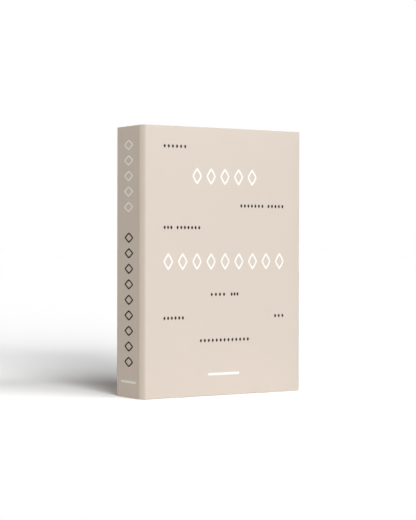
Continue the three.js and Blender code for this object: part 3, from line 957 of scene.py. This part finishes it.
# the magnets press faint outlines through the paper, on the tray's rim and inside the cover
plates = [(rounded_rect(lo[0] - 0.3, hi[0] + 0.3, lo[2] - 0.3, hi[2] + 0.3, 0.9, 4), None)
          for lo, hi in (box_mm("tray_magnet_lower"), box_mm("tray_magnet_upper"))]
attach(marks("tray_magnet_outlines", lambda u, v, d: (u, RIM_Y - d, v), plates, TRAY_PAPER,
             up=0.05, down=0.02), "tray_paper", "case")
attach(marks("cover_magnet_outlines", lambda u, v, d: (u, cover_lining_hi[1] + d, v), plates,
             TRAY_PAPER, up=0.05, down=0.02), "tray_paper", "cover")


# ------------------------------------------------------------------ inside of the hinge joint
def strip(name, path, thick, z0, z1):
    """A cloth sheet whose plan outline is path, thick towards its left, run from z0 to z1."""
    n_z = 20
    pts = [Vector(p) for p in path]
    left = []
    for i, p in enumerate(pts):
        along = (pts[min(len(pts) - 1, i + 1)] - pts[max(0, i - 1)]).normalized()
        left.append(p + Vector((-along.y, along.x)) * thick)
    outline = pts + left[::-1]
    rings = [[(p.x, p.y, z0 + (z1 - z0) * k / n_z) for p in outline] for k in range(n_z + 1)]
    return sheet_loft(name, rings, HINGE_CLOTH, 40)


hinge_cloth = joint_sheet("hinge_cloth_strip", FRONT_CORNER, inset=0.35, thick=0.25,
                          z0=TAIL_Z + 1, z1=HEAD_Z - 1, r_end=0.3, lead=0.1,
                          mat=HINGE_CLOTH, n_arc=44)
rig.slot(hinge_cloth, "hinge_cloth")
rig.replaces(hinge_cloth, "hinge_cloth")
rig.blend(hinge_cloth, "case", "cover", start=BEND_START, end=BEND_END)

SPINE_LINER = (     # x from the tray's spine side, y
    (0.0, -21.3), (0.0, -20.7), (-0.14, -20.2), (-0.5, -19.78),
    (-1.0, -19.5), (-1.7, -19.33), (-2.45, -19.27),
)
liner_x = OUTSIDE[0] - 0.02
liner = strip("spine_joint_liner", [(liner_x + dx, y) for dx, y in SPINE_LINER],
              thick=0.16, z0=TAIL_Z + 1.2, z1=HEAD_Z - 1.2)
attach(liner, "hinge_cloth", "case")

COVER_LINER = (     # x from the front board's spine edge, y from the board's inner face
    (2.6, 0.3), (0.35, 0.3), (-0.02, 0.2), (-0.2, -0.02), (-0.28, -0.4),
)
path = [(front_lo[0] + dx, front_hi[1] + dy) for dx, dy in COVER_LINER]
path.append((front_lo[0] - 0.28, front_lo[1] + 0.45))
liner = strip("cover_joint_liner", path, thick=0.2, z0=TAIL_Z + 0.5, z1=HEAD_Z - 0.5)
attach(liner, "hinge_cloth", "cover")


# ------------------------------------------------------------------ paper folded in at the corners
def fold_pair(name, outline, far, near, bevel, body="case"):
    """A block of folded paper at head and tail, between far and near from the box's end."""
    mid_x = sum(p[0] for p in outline) / len(outline)
    mid_y = sum(p[1] for p in outline) / len(outline)
    for end, z0, z1 in (("_head", HEAD_Z - far, HEAD_Z - near),
                        ("_tail", TAIL_Z + near, TAIL_Z + far)):
        rings = []
        for z, k in ((z0, 1.0), (z0 + bevel * 0.3, 0.3), (z0 + bevel, 0.0),
                     (z1 - bevel, 0.0), (z1 - bevel * 0.3, 0.3), (z1, 1.0)):
            ring = []
            for x, y in outline:
                dx, dy = mid_x - x, mid_y - y
                length = math.hypot(dx, dy)
                ring.append((x + dx / length * bevel * k, y + dy / length * bevel * k, z))
            rings.append(ring)
        attach(loft(name + end, rings, COVER_PAPER, 30), "cover_paper", body)


def corner_arc(corner, inset, t0, t1, n):
    return [corner_point(corner, t0 + (t1 - t0) * k / n, inset) for k in range(n + 1)]


tray_x = OUTSIDE[0] - 0.03
fold_y = FRONT_CORNER.y + LEAD - 0.02
outline = [(tray_x, -21.2), (tray_x, fold_y), (SPINE_X + 0.8, fold_y)]
outline += corner_arc(FRONT_CORNER, inset=0.8, t0=0, t1=33, n=6)
fold_pair("front_corner_fold", outline, far=2.2, near=0.28, bevel=0.25)

fold_x, fold_y = BACK_CORNER.x + LEAD + 0.4, BACK_CORNER.y - LEAD - 0.4
outline = [(SPINE_X + 0.76, fold_y), (fold_x, fold_y), (fold_x, BACK_Y - 0.76)]
outline += corner_arc(BACK_CORNER, inset=0.76, t0=90, t1=0, n=3)
fold_pair("back_corner_fold", outline, far=1.2, near=0.01, bevel=0.02)

fold_x, fold_y = FRONT_CORNER.x + LEAD + 0.3, cover_hi[1] - 0.06
outline = [(fold_x, fold_y), (FRONT_CORNER.x - 0.6, fold_y)]
outline += corner_arc(FRONT_CORNER, inset=0.8, t0=66, t1=90, n=5) + [(fold_x, FRONT_Y + 0.8)]
fold_pair("cover_corner_fold", outline, far=1.15, near=0.24, bevel=0.14, body="cover")

# ------------------------------------------------------------------ inside of the cover
lining = wrapped_slab("cover_lining_sheet", cover_lining_lo, cover_lining_hi, TRAY_PAPER,
                      r=0.13, thick=0.1, step=16)
attach(lining, "tray_paper", "cover", "cover_lining")


def card_ring(inset, y):
    outline = rounded_rect(card_lo[0] + inset, card_hi[0] - inset,
                           card_lo[2] + inset, card_hi[2] - inset, 4 - inset, 6)
    return [(x, y, z) for x, z in outline]


bevel, y0, y1 = 0.1, card_lo[1], card_hi[1]
card_rings = [card_ring(inset, y) for inset, y in (
    (bevel, y0), (bevel * 0.3, y0 + bevel * 0.3), (0.0, y0 + bevel),
    (0.0, y1 - bevel), (bevel * 0.3, y1 - bevel * 0.3), (bevel, y1))]
card = loft("instruction_card_stock", card_rings, CARD, 30, flip_caps=True)
attach(card, "card", "cover", "instruction_card")


def on_card(u, v, d):
    return (u, card_hi[1] + d, v)


def circle(u, v, r):
    return [(u + r * math.cos(2 * math.pi * j / 40), v + r * math.sin(2 * math.pi * j / 40))
            for j in range(40)]


# a heading bar, then three rows: four bars of text beside a bordered lozenge, square or circle
u_left, u_right = card_lo[0] + 8, card_hi[0] - 8
v_low, v_high = card_lo[2] + 9, card_hi[2] - 9
dark_shapes = [bar(u_left, u_left + 62, v_high - 5.5, v_high, r=1.2)]
soft_shapes = []
row_height = (v_high - 14 - v_low) / 3
for k in range(3):
    v1 = v_high - 12 - k * row_height
    v0 = v1 - row_height + 6
    u0 = u_right - (v1 - v0) * 1.12
    soft_shapes.append(border(u0, u_right, v0, v1, r=3.0, stroke=0.7))
    mid_u, mid_v, radius = (u0 + u_right) / 2, (v0 + v1) / 2, (v1 - v0) * 0.3
    if k == 0:
        dark_shapes.append(lozenge_ring(mid_u, mid_v, radius * 2.1, radius * 2.1, stroke=1.4))
    elif k == 1:
        reach = radius * 0.8
        dark_shapes.append(border(mid_u - reach, mid_u + reach, mid_v - reach, mid_v + reach,
                                  r=1.5, stroke=1.3))
    else:
        dark_shapes.append((circle(mid_u, mid_v, radius), circle(mid_u, mid_v, radius - 1.4)))
    for j, (indent, short) in enumerate(((0, 0), (0, 4), (0, 9), (9, 0))):
        mid_bar = v1 - 6.5 - j * 7.4
        soft_shapes.append(bar(u_left + indent, u0 - 8 - short, mid_bar - 1.1, mid_bar + 1.1,
                               r=1.0))
attach(marks("card_pattern_dark", on_card, dark_shapes, DARK_INK, up=0.02), "card", "cover")
attach(marks("card_pattern_soft", on_card, soft_shapes, TAN_INK, up=0.02), "card", "cover")


# ------------------------------------------------------------------ cloth helpers
def set_weave(ob, values):
    """Stores each vertex's place in the cloth, in mm, for the woven materials."""
    attribute = ob.data.attributes.new("weave", "FLOAT_VECTOR", "POINT")
    attribute.data.foreach_set("vector", np.asarray(values, np.float32).ravel())


def coords(ob):
    co = np.empty(len(ob.data.vertices) * 3, np.float32)
    ob.data.vertices.foreach_get("co", co)
    return co.reshape(-1, 3).astype(float)


def set_coords(ob, co):
    ob.data.vertices.foreach_set("co", co.astype(np.float32).ravel())
    ob.data.update()


def smooth_noise(x, z, seed, scale):
    """Soft repeatable waves over x and z, about -1 to 1."""
    draw = np.random.default_rng(seed)
    out = np.zeros(np.shape(x))
    for _ in range(7):
        a = draw.uniform(0, 2 * math.pi)
        k = 2 * math.pi / (scale * draw.uniform(0.6, 1.9))
        run = (np.asarray(x) * math.cos(a) + np.asarray(z) * math.sin(a)) * k
        out = out + np.sin(run + draw.uniform(0, 6.28))
    return out / 3.6


def bake(ob):
    """Turns the object's modifiers into its mesh."""
    depsgraph = bpy.context.evaluated_depsgraph_get()
    new = bpy.data.meshes.new_from_object(ob.evaluated_get(depsgraph))
    old = ob.data
    ob.modifiers.clear()
    ob.data = new
    bpy.data.meshes.remove(old)


def front_surface(ob, missing):
    """A function that gives the y of the object's front at x, z, or missing beside it."""
    bpy.context.view_layer.update()
    tree = BVHTree.FromObject(ob, bpy.context.evaluated_depsgraph_get())

    def face_y(x, z):
        hit = tree.ray_cast(Vector((x, -60, z)) * MM, Vector((0, 1, 0)))
        return hit[0].y * 1000 if hit[0] is not None else missing

    return face_y


# ------------------------------------------------------------------ blanket: stacked layers
PANELS = 6
PANEL_PITCH, PANEL_THICK = 5.1, 4.86
HALF = PANEL_THICK / 2
R_TURN = PANEL_PITCH / 2
STACK_BACK_Y = blanket_hi[1] - 0.1
STACK_LEFT, STACK_RIGHT = blanket_lo[0] + 0.9, blanket_hi[0] - 0.9
STACK_LOW, STACK_TOP = blanket_lo[2] + 0.35, blanket_hi[2] - 1.2


def folded_path(n_straight=26, n_turn=10):
    """Plan of the stack, folded to and fro from the back: (x, y, nx, ny, distance along)."""
    path = []
    run = 0.0
    for p in range(PANELS):
        y = STACK_BACK_Y - HALF - p * PANEL_PITCH
        way = 1 if p % 2 == 0 else -1
        a, b = STACK_LEFT + R_TURN + HALF, STACK_RIGHT - R_TURN - HALF
        if way < 0:
            a, b = b, a
        # both free ends of the cloth are on the left
        if p == 0:
            a = STACK_LEFT + 1.5
        if p == PANELS - 1:
            b = STACK_LEFT + 1.5
        for k in range(n_straight + 1):
            x = a + (b - a) * k / n_straight
            path.append((x, y, 0.0, -1.0 * way, run + abs(x - a)))
        run += abs(b - a)
        if p < PANELS - 1:
            for k in range(1, n_turn):
                t = math.pi * k / n_turn
                path.append((b + way * R_TURN * math.sin(t), y - R_TURN + R_TURN * math.cos(t),
                             -math.sin(t), -math.cos(t) * way, run + R_TURN * t))
            run += math.pi * R_TURN
    return path


def layer_section(n_long=30):
    """Section of one layer: (offset across, z beyond the straight part, fraction of its height)."""
    ends = [math.radians(-90 + 22.5 * k) for k in range(9)]
    section = [(HALF * math.sin(t), -HALF * math.cos(t), 0.0) for t in ends]
    section += [(HALF, 0.0, k / n_long) for k in range(1, n_long)]
    section += [(HALF * math.sin(t), HALF * math.cos(t), 1.0) for t in ends[::-1]]
    section += [(-HALF, 0.0, k / n_long) for k in range(n_long - 1, 0, -1)]
    return section


def blanket_layers():
    rings, weave = [], []
    section = layer_section()
    middle_x = (STACK_LEFT + STACK_RIGHT) / 2
    for x, y, nx, ny, run in folded_path():
        # the layers' lower and upper edges wander a little
        low = STACK_LOW + HALF + 0.35 + 0.35 * math.sin(run * 0.031 + 1.0)
        high = STACK_TOP - HALF - 0.55 + 0.55 * math.sin(run * 0.027)
        near_edge = clamp01((abs(x - middle_x) - 60) / 20)
        ring = []
        for d, beyond, fraction in section:
            z = low + (high - low) * fraction + beyond
            wobble = 0.45 * math.sin(z * 0.043 + y * 0.9) + 0.3 * math.sin(z * 0.11 + y * 2.3)
            ring.append((x + nx * d - math.copysign(abs(wobble), x) * near_edge,
                         y + ny * d + 0.1 * float(smooth_noise(x, z, 11, 60.0)), z))
            weave.append((run, z, d))
        rings.append(ring)
    ob = loft("blanket_folded_layers", rings, GLASS, 60)
    set_weave(ob, weave)
    attach(ob, "glass_cloth", "case")


blanket_layers()

# ------------------------------------------------------------------ blanket: air-filled front fold
FOLD_FRONT_Y = blanket_lo[1] + 1.15     # leaves room in front for the outermost layer
FOLD_LO = (blanket_lo[0] + 2.2, FOLD_FRONT_Y + 1.9, STACK_LOW + 1.4)    # block before inflation
FOLD_HI = (blanket_hi[0] - 2.2, FOLD_FRONT_Y + 9.5, STACK_TOP - 1.4)


def soft_block(name, lo, hi, r, cell):
    """A closed block with rounded edges, cut into even cells."""
    me = bpy.data.meshes.new(name)
    bm = bmesh.new()
    bmesh.ops.create_cube(bm, size=1.0)
    for v in bm.verts:
        v.co = Vector([(lo[a] + (hi[a] - lo[a]) * (v.co[a] + 0.5)) * MM for a in range(3)])
    bmesh.ops.bevel(bm, geom=list(bm.edges), offset=r * MM, segments=4, profile=0.5,
                    affect="EDGES")
    bm.to_mesh(me)
    bm.free()
    ob = bpy.data.objects.new(name, me)
    scene.collection.objects.link(ob)
    remesh = ob.modifiers.new("cells", "REMESH")
    remesh.mode = "VOXEL"
    remesh.voxel_size = cell * MM
    bake(ob)
    return ob


def inflate(ob, frames, max_move):
    """Blows the object up as cloth, and limits how far each vertex moves."""
    before = coords(ob)
    cloth = ob.modifiers.new("cloth", "CLOTH")
    settings = cloth.settings
    settings.quality = 6
    settings.mass = 0.15
    settings.use_pressure = True
    settings.uniform_pressure_force = 4.0
    settings.tension_stiffness = 18
    settings.compression_stiffness = 18
    settings.shear_stiffness = 6
    settings.bending_stiffness = 0.3
    settings.shrink_min = -0.035
    settings.effector_weights.gravity = 0
    cloth.collision_settings.use_self_collision = False
    scene.frame_start, scene.frame_end = 1, frames
    for f in range(1, frames + 1):
        scene.frame_set(f)
    bake(ob)
    move = coords(ob) - before
    length = np.linalg.norm(move, axis=1, keepdims=True)
    move = move * np.minimum(1.0, max_move * MM / np.maximum(length, 1e-9))
    set_coords(ob, before + move)
    scene.frame_set(1)


fold = soft_block("blanket_front_fold", FOLD_LO, FOLD_HI, r=3.0, cell=4.2)
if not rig.quick():
    inflate(fold, frames=20, max_move=2.4)
co = coords(fold) * 1000
co[:, 1] += 0.22 * smooth_noise(co[:, 0], co[:, 2], 5, 34.0)
co[:, 0] = np.clip(co[:, 0], blanket_lo[0] + 0.3, blanket_hi[0] - 0.3)
co[:, 1] = np.clip(co[:, 1], FOLD_FRONT_Y, blanket_hi[1] - 1)
co[:, 2] = np.clip(co[:, 2], blanket_lo[2] + 0.1, blanket_hi[2] - 0.2)
set_coords(fold, co * MM)
subdivision = fold.modifiers.new("smooth", "SUBSURF")
subdivision.levels = subdivision.render_levels = 1
bake(fold)
fold.data.materials.clear()
fold.data.materials.append(GLASS)
fold.data.polygons.foreach_set("use_smooth", [True] * len(fold.data.polygons))
co = coords(fold) * 1000
set_weave(fold, np.stack([co[:, 0] + 0.9 * smooth_noise(co[:, 0], co[:, 2], 3, 120.0),
                          co[:, 2], co[:, 1]], 1))
attach(fold, "glass_cloth", "case", "blanket")
fold_y_at = front_surface(fold, missing=FOLD_LO[1] + 1.0)

# ------------------------------------------------------------------ blanket: outermost layer
LAYER_TOP = 238.0       # its free hemmed edge, near the head
HEM = 29.0
LAYER_LEFT, LAYER_RIGHT = FOLD_LO[0] + 2.6, FOLD_HI[0] - 2.6
LAYER_LOW = FOLD_LO[2] + 2.4
CELLS_X, CELLS_Z = 64, 96


def layer_thickness(x, z):
    thick = 0.38
    thick += 0.34 * clamp01((z - (LAYER_TOP - HEM)) / 1.2)              # doubled at the hem
    thick *= 1 - 0.55 * max(0, (z - (LAYER_TOP - 2.0)) / 2.0) ** 2      # rolled top edge
    from_side = min(x - LAYER_LEFT, LAYER_RIGHT - x)
    thick *= 1 - 0.4 * max(0, (2.0 - from_side) / 2.0) ** 2
    thick += 0.05 * float(smooth_noise(x, z, 21, 9.0))
    # one crease across and one up the middle, each a ridge with a hollow beside it
    for at, height in ((z - 94.0 - 0.4 * math.sin(x * 0.05), 0.3),
                       (x + 2.0 - 0.5 * math.sin(z * 0.04), 0.26)):
        thick += (height * math.exp(-(at / 1.1) ** 2)
                  - height * 0.45 * math.exp(-((at - 3.2) / 2.2) ** 2))
    return thick


def blanket_outer_layer():
    xs = [LAYER_LEFT + (LAYER_RIGHT - LAYER_LEFT) * i / CELLS_X for i in range(CELLS_X + 1)]
    zs = [LAYER_LOW + (LAYER_TOP - LAYER_LOW) * j / CELLS_Z for j in range(CELLS_Z + 1)]
    rest = np.array([[fold_y_at(x, z) for x in xs] for z in zs])
    for _ in range(2):      # cloth bridges small hollows
        pad = np.pad(rest, 1, mode="edge")
        around = (pad[:-2, 1:-1] + pad[2:, 1:-1] + pad[1:-1, :-2] + pad[1:-1, 2:]) / 4
        rest = np.minimum(rest, around * 0.6 + rest * 0.4)
    verts, weave, faces = [], [], []
    for is_front in (True, False):
        for j, z in enumerate(zs):
            for i, x in enumerate(xs):
                if is_front:
                    y = max(rest[j, i] - layer_thickness(x, z), blanket_lo[1] + 0.05)
                else:
                    y = rest[j, i] + 0.1
                ripple = 0.5 * float(smooth_noise(x, 0, 31, 55.0)) if j == CELLS_Z else 0
                verts.append((x, y, z + ripple))
                weave.append((x, z, y))
    row = CELLS_X + 1
    count = row * (CELLS_Z + 1)
    for j in range(CELLS_Z):
        for i in range(CELLS_X):
            a = j * row + i
            quad = [a, a + 1, a + row + 1, a + row]
            faces.append(quad)
            faces.append([q + count for q in quad[::-1]])
    loop = list(range(row)) + [j * row + CELLS_X for j in range(1, CELLS_Z + 1)]
    loop += [CELLS_Z * row + i for i in range(CELLS_X - 1, -1, -1)]
    loop += [j * row for j in range(CELLS_Z - 1, 0, -1)]
    for a, b in zip(loop, loop[1:] + loop[:1]):
        faces.append([b, a, a + count, b + count])
    ob = mesh_obj("blanket_outer_layer", verts, faces, GLASS, 60)
    set_weave(ob, weave)
    attach(ob, "glass_cloth", "case")
    return ob


layer_y_at = front_surface(blanket_outer_layer(), missing=blanket_lo[1])


def stitches(name, runs, mat, pitch, r, lift, face_y=None):
    """Thread along each run from p to q, on front faces. face_y(x, z) overrides the runs' y."""
    share = 0.72            # of the pitch that one stitch covers
    n_rings, n_round = 6, 8
    out = Vector((0, -1, 0))
    verts, faces = [], []
    for p, q in runs:
        p, q = Vector(p), Vector(q)
        length = (q - p).length
        n = max(1, int(round(length / pitch)))
        along = (q - p) / length
        for k in range(n):
            a = p + along * (length * (k + (1 - share) / 2) / n)
            b = p + along * (length * (k + (1 + share) / 2) / n)
            side = out.cross(along).normalized()
            base = len(verts)
            wobble = rng.uniform(-0.05, 0.05)
            for s in range(n_rings):
                t = s / (n_rings - 1)
                centre = a.lerp(b, t)
                if face_y:
                    centre.y = face_y(centre.x, centre.z)
                centre = centre + out * (lift * math.sin(math.pi * t) - 0.08) + side * wobble
                radius = r * (0.5 + 0.5 * math.sin(math.pi * t))
                for j in range(n_round):
                    angle = 2 * math.pi * j / n_round
                    verts.append(tuple(centre + side * radius * math.cos(angle)
                                       + out * radius * 0.8 * math.sin(angle)))
            faces += band_faces(n_rings, n_round, base)
            faces.append([base + j for j in range(n_round)][::-1])
            faces.append([base + (n_rings - 1) * n_round + j for j in range(n_round)])
    return mesh_obj(name, verts, faces, mat, 60)


runs = [((LAYER_LEFT + 2.5, 0, z), (LAYER_RIGHT - 2.5, 0, z))
        for z in (LAYER_TOP - HEM + 1.2, LAYER_TOP - 3.0)]
attach(stitches("blanket_hem_stitches", runs, CLOTH_THREAD, pitch=3.4, r=0.24, lift=0.16,
                face_y=layer_y_at), "glass_cloth", "case")

# ------------------------------------------------------------------ webbing pull tabs
STRAP = 1.0         # thickness
LEG = 0.56          # from the middle of the doubled loop to the middle of each leg


def strap_path(sewn_y, loop_y, z_top, z_root, z_low, bow):
    """Side view of the strap's centre line, as (y, z). bow is how far the front leg stands out."""
    back_y, front_y = loop_y + LEG, loop_y - LEG
    pts = [(sewn_y, z_top - 0.1 - (z_top - z_root - 3.2) * j / 12) for j in range(13)]  # sewn end
    for j in range(1, 7):           # leaves the blanket
        t = j / 6
        pts.append((sewn_y + (back_y - sewn_y) * t * t * (3 - 2 * t), z_root + 3.1 - 5.2 * t))
    n_leg = 30
    for j in range(1, n_leg + 1):   # back leg
        t = j / n_leg
        pts.append((back_y + 0.06 * math.sin(math.pi * t),
                    z_root - 2.1 - (z_root - 2.1 - z_low - 3.2) * t))
    for j in range(1, 13):          # round the bottom, with a little belly
        t = math.pi * j / 12
        belly = 0.22 * math.sin(t) ** 2
        pts.append((loop_y + (LEG + belly) * math.cos(t),
                    z_low + STRAP / 2 + 2.7 - 2.7 * math.sin(t)))
    for j in range(1, n_leg + 1):   # front leg
        t = j / n_leg
        pts.append((front_y - bow * math.sin(math.pi * t) ** 1.5,
                    z_low + 3.2 + (z_root - 1.0 - z_low - 3.2) * t))
    for j in range(1, 5):           # its end tucks back against the sewn end
        t = j / 4
        pts.append((front_y + 0.28 * t * t, z_root - 1.0 + 3.2 * t))
    return pts


def strap_mesh(name, pts, x_mid, half_width, z_root, phase):
    """The webbing along pts, swaying and curling a little below z_root."""
    n_across = 18
    section = [(-1 + 2 * j / n_across, 1) for j in range(n_across + 1)]
    section += [(1 - 2 * j / n_across, -1) for j in range(n_across + 1)]
    rings, weave = [], []
    along = 0.0
    for i, (y, z) in enumerate(pts):
        y0, z0 = pts[max(0, i - 1)]
        y1, z1 = pts[min(len(pts) - 1, i + 1)]
        way = Vector((y1 - y0, z1 - z0)).normalized()
        ny, nz = way.y, -way.x
        if i:
            along += math.hypot(y - y0, z - z0)
        sway = 0.35 * math.sin(along * 0.045 + 1.7 * phase) * clamp01((z_root - z) / 30)
        curl = 0.12 * math.sin(along * 0.08 + phase)
        ring = []
        for u, face in section:
            # thicker along the selvedges, thinning at the very edge
            half = (STRAP / 2 * (0.86 + 0.2 * math.exp(-((abs(u) - 0.9) / 0.07) ** 2))
                    * (1 - max(0, abs(u) - 0.93) / 0.07 * 0.55))
            lift = curl * (u * u - 0.4) * clamp01((z_root - z) / 20)
            ring.append((x_mid + sway + u * half_width,
                         y + ny * (face * half) + lift * ny, z + nz * (face * half)))
            weave.append((u * half_width, along, face * half))
        rings.append(ring)
    ob = sheet_loft(name, rings, WEBBING, 50)
    set_weave(ob, weave)
    return ob


def pull_tab(side, phase, bow):
    loop_lo, loop_hi = box_mm("pull_tab_" + side)
    sewn_lo, sewn_hi = box_mm("pull_tab_" + side + "_sewn_end")
    x_mid = (loop_lo[0] + loop_hi[0]) / 2
    width = loop_hi[0] - loop_lo[0] - 0.3
    loop_y = (loop_lo[1] + loop_hi[1]) / 2
    sewn_y = (sewn_lo[1] + sewn_hi[1]) / 2
    z_top, z_root = sewn_hi[2], loop_hi[2] - 1.3
    pts = strap_path(sewn_y, loop_y, z_top, z_root, z_low=loop_lo[2], bow=bow)
    strap = strap_mesh("pull_tab_strap_" + side, pts, x_mid, width / 2, z_root, phase)
    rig.slot(strap, "webbing")
    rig.replaces(strap, "pull_tab_" + side, "pull_tab_" + side + "_sewn_end")
    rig.blend(strap, "case", side + "_tab",
             start=(x_mid * MM, loop_y * MM, (z_root + 4.5) * MM),
             end=(x_mid * MM, loop_y * MM, (z_root - 4.5) * MM))
    # a box and a cross of stitches on the sewn end
    y = sewn_y - STRAP / 2 * 0.86
    x0, x1 = x_mid - 9.4, x_mid + 9.4
    z0, z1 = z_root + 6.3, z_top - 2.6
    box = [(x0, y, z0), (x1, y, z0), (x1, y, z1), (x0, y, z1)]
    runs = list(zip(box, box[1:] + box[:1]))
    runs += [((x0 + 1, y, z0 + 1), (x1 - 1, y, z1 - 1)), ((x1 - 1, y, z0 + 1), (x0 + 1, y, z1 - 1))]
    attach(stitches("pull_tab_stitches_" + side, runs, TAB_THREAD, pitch=2.7, r=0.22, lift=0.14),
           "webbing", "case")


pull_tab("left", phase=0, bow=0.22)
pull_tab("right", phase=1, bow=0.3)

# ------------------------------------------------------------------ floor
FLOOR_LIGHTING = (0.65, 0.65, 0.65)     # colour that bounces light on to the object
FLOOR_SEEN = (2.74, 2.74, 2.74)         # colour the camera sees, so that the floor is white

floor_mat = bpy.data.materials.new("floor")
floor_mat.use_nodes = True
floor_mat.node_tree.nodes.clear()
g = Graph(floor_mat.node_tree)
output = g.node("ShaderNodeOutputMaterial")
diffuse = g.node("ShaderNodeBsdfDiffuse")
light_path = g.node("ShaderNodeLightPath")
seen = Value(g, light_path.outputs["Is Camera Ray"])
g.plug(diffuse.inputs["Color"], g.mix(seen, FLOOR_LIGHTING, FLOOR_SEEN))
g.tree.links.new(diffuse.outputs[0], output.inputs["Surface"])
REACH = 30000
floor = mesh_obj("floor", [(-REACH, -REACH, -0.05), (REACH, -REACH, -0.05),
                           (REACH, REACH, -0.05), (-REACH, REACH, -0.05)],
                 [(0, 1, 2, 3)], floor_mat)
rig.stage(floor)

# ------------------------------------------------------------------ world and lights
AMBIENT = 0.05      # the world's light; the camera sees it as plain white

world = bpy.data.worlds.new("studio")
scene.world = world
world.use_nodes = True
nodes, links = world.node_tree.nodes, world.node_tree.links
ambient = nodes["Background"]
backdrop = nodes.new("ShaderNodeBackground")
for background, strength in ((ambient, AMBIENT), (backdrop, 1.0)):
    background.inputs["Color"].default_value = (1, 1, 1, 1)
    background.inputs["Strength"].default_value = strength
light_path = nodes.new("ShaderNodeLightPath")
mixer = nodes.new("ShaderNodeMixShader")
links.new(light_path.outputs["Is Camera Ray"], mixer.inputs[0])
links.new(ambient.outputs[0], mixer.inputs[1])
links.new(backdrop.outputs[0], mixer.inputs[2])
links.new(mixer.outputs[0], nodes["World Output"].inputs[0])

# name, direction in plan from the object, elevation and spread in degrees, strength, colour
LIGHTS = (
    ("key_low", (-0.24, -0.97), 14, 26, 0.55, (1.0, 1.0, 1.0)),
    ("key", (0.298, -0.954), 27, 56, 0.40, (1.0, 1.0, 1.0)),
)
FILLS = (       # these reach the object only, not the floor
    ("fill_left", (-0.97, -0.24), 8, 30, 0.435, (1.0, 0.965, 0.86)),
    ("fill_back", (0.62, 0.78), 30, 50, 0.78, (1.0, 0.99, 0.97)),
)


def softbox(name, toward, elevation, spread, strength, colour):
    """A distant soft source."""
    sun = bpy.data.lights.new(name, "SUN")
    sun.energy = strength * math.pi
    sun.angle = math.radians(spread)
    sun.color = colour
    ob = bpy.data.objects.new(name, sun)
    direction = Vector((*toward, 0)).normalized() * math.cos(math.radians(elevation))
    direction.z = math.sin(math.radians(elevation))
    ob.rotation_euler = direction.to_track_quat("Z", "Y").to_euler()
    ob.location = direction * 2
    scene.collection.objects.link(ob)
    return ob


lit = bpy.data.collections.new("lit_object")
for light in LIGHTS:
    softbox(*light)
for light in FILLS:
    softbox(*light).light_linking.receiver_collection = lit

# a weak lamp above the front, so that the cover fades a little from head to tail; in metres
lamp = bpy.data.lights.new("top_lamp", "AREA")
lamp.shape = "DISK"
lamp.size = 0.2
lamp.energy = 0.08
lamp.color = (0.90, 0.93, 1.0)
lamp_ob = bpy.data.objects.new("top_lamp", lamp)
lamp_ob.location = (-0.10, -0.275, 0.42)
lamp_target = Vector((0.0, 0.0, 0.22))
lamp_ob.rotation_euler = (lamp_ob.location - lamp_target).to_track_quat("Z", "Y").to_euler()
scene.collection.objects.link(lamp_ob)
lamp_ob.light_linking.receiver_collection = lit

# Light bounced off the object mustn't push the white floor beside it past white.
# The setting exists only where Cycles is enabled.
if hasattr(scene, "cycles"):
    scene.cycles.sample_clamp_indirect = 0.35

scene.view_settings.view_transform = "Standard"
scene.view_settings.look = "None"

# ------------------------------------------------------------------ camera
CAMERA_PLACE = Vector((-0.8643, -1.3463, 0.1536))       # metres
CAMERA_AXES = (     # its right, up and backward directions
    (0.842127, -0.539275, 0.00227),
    (0.003833, 0.010194, 0.999941),
    (-0.539266, -0.842068, 0.010651),
)
camera = bpy.data.cameras.new("camera")
camera.sensor_width = 36
camera.lens = 108.039462
camera.clip_start = 0.01
camera_ob = bpy.data.objects.new("camera", camera)
scene.collection.objects.link(camera_ob)
rotation = Matrix(CAMERA_AXES).transposed()
camera_ob.matrix_world = Matrix.Translation(CAMERA_PLACE) @ rotation.to_4x4()
scene.camera = camera_ob

for ob in list(scene.objects):
    if ob.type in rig.SHOWN_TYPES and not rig.is_stage(ob):
        lit.objects.link(ob)

VIS_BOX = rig.bounds()
with open("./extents.json", "w") as fh:
    json.dump({"cad": [[float(c) for c in p] for p in CAD_BOX],
               "visual": [[float(c) for c in p] for p in VIS_BOX]}, fh)
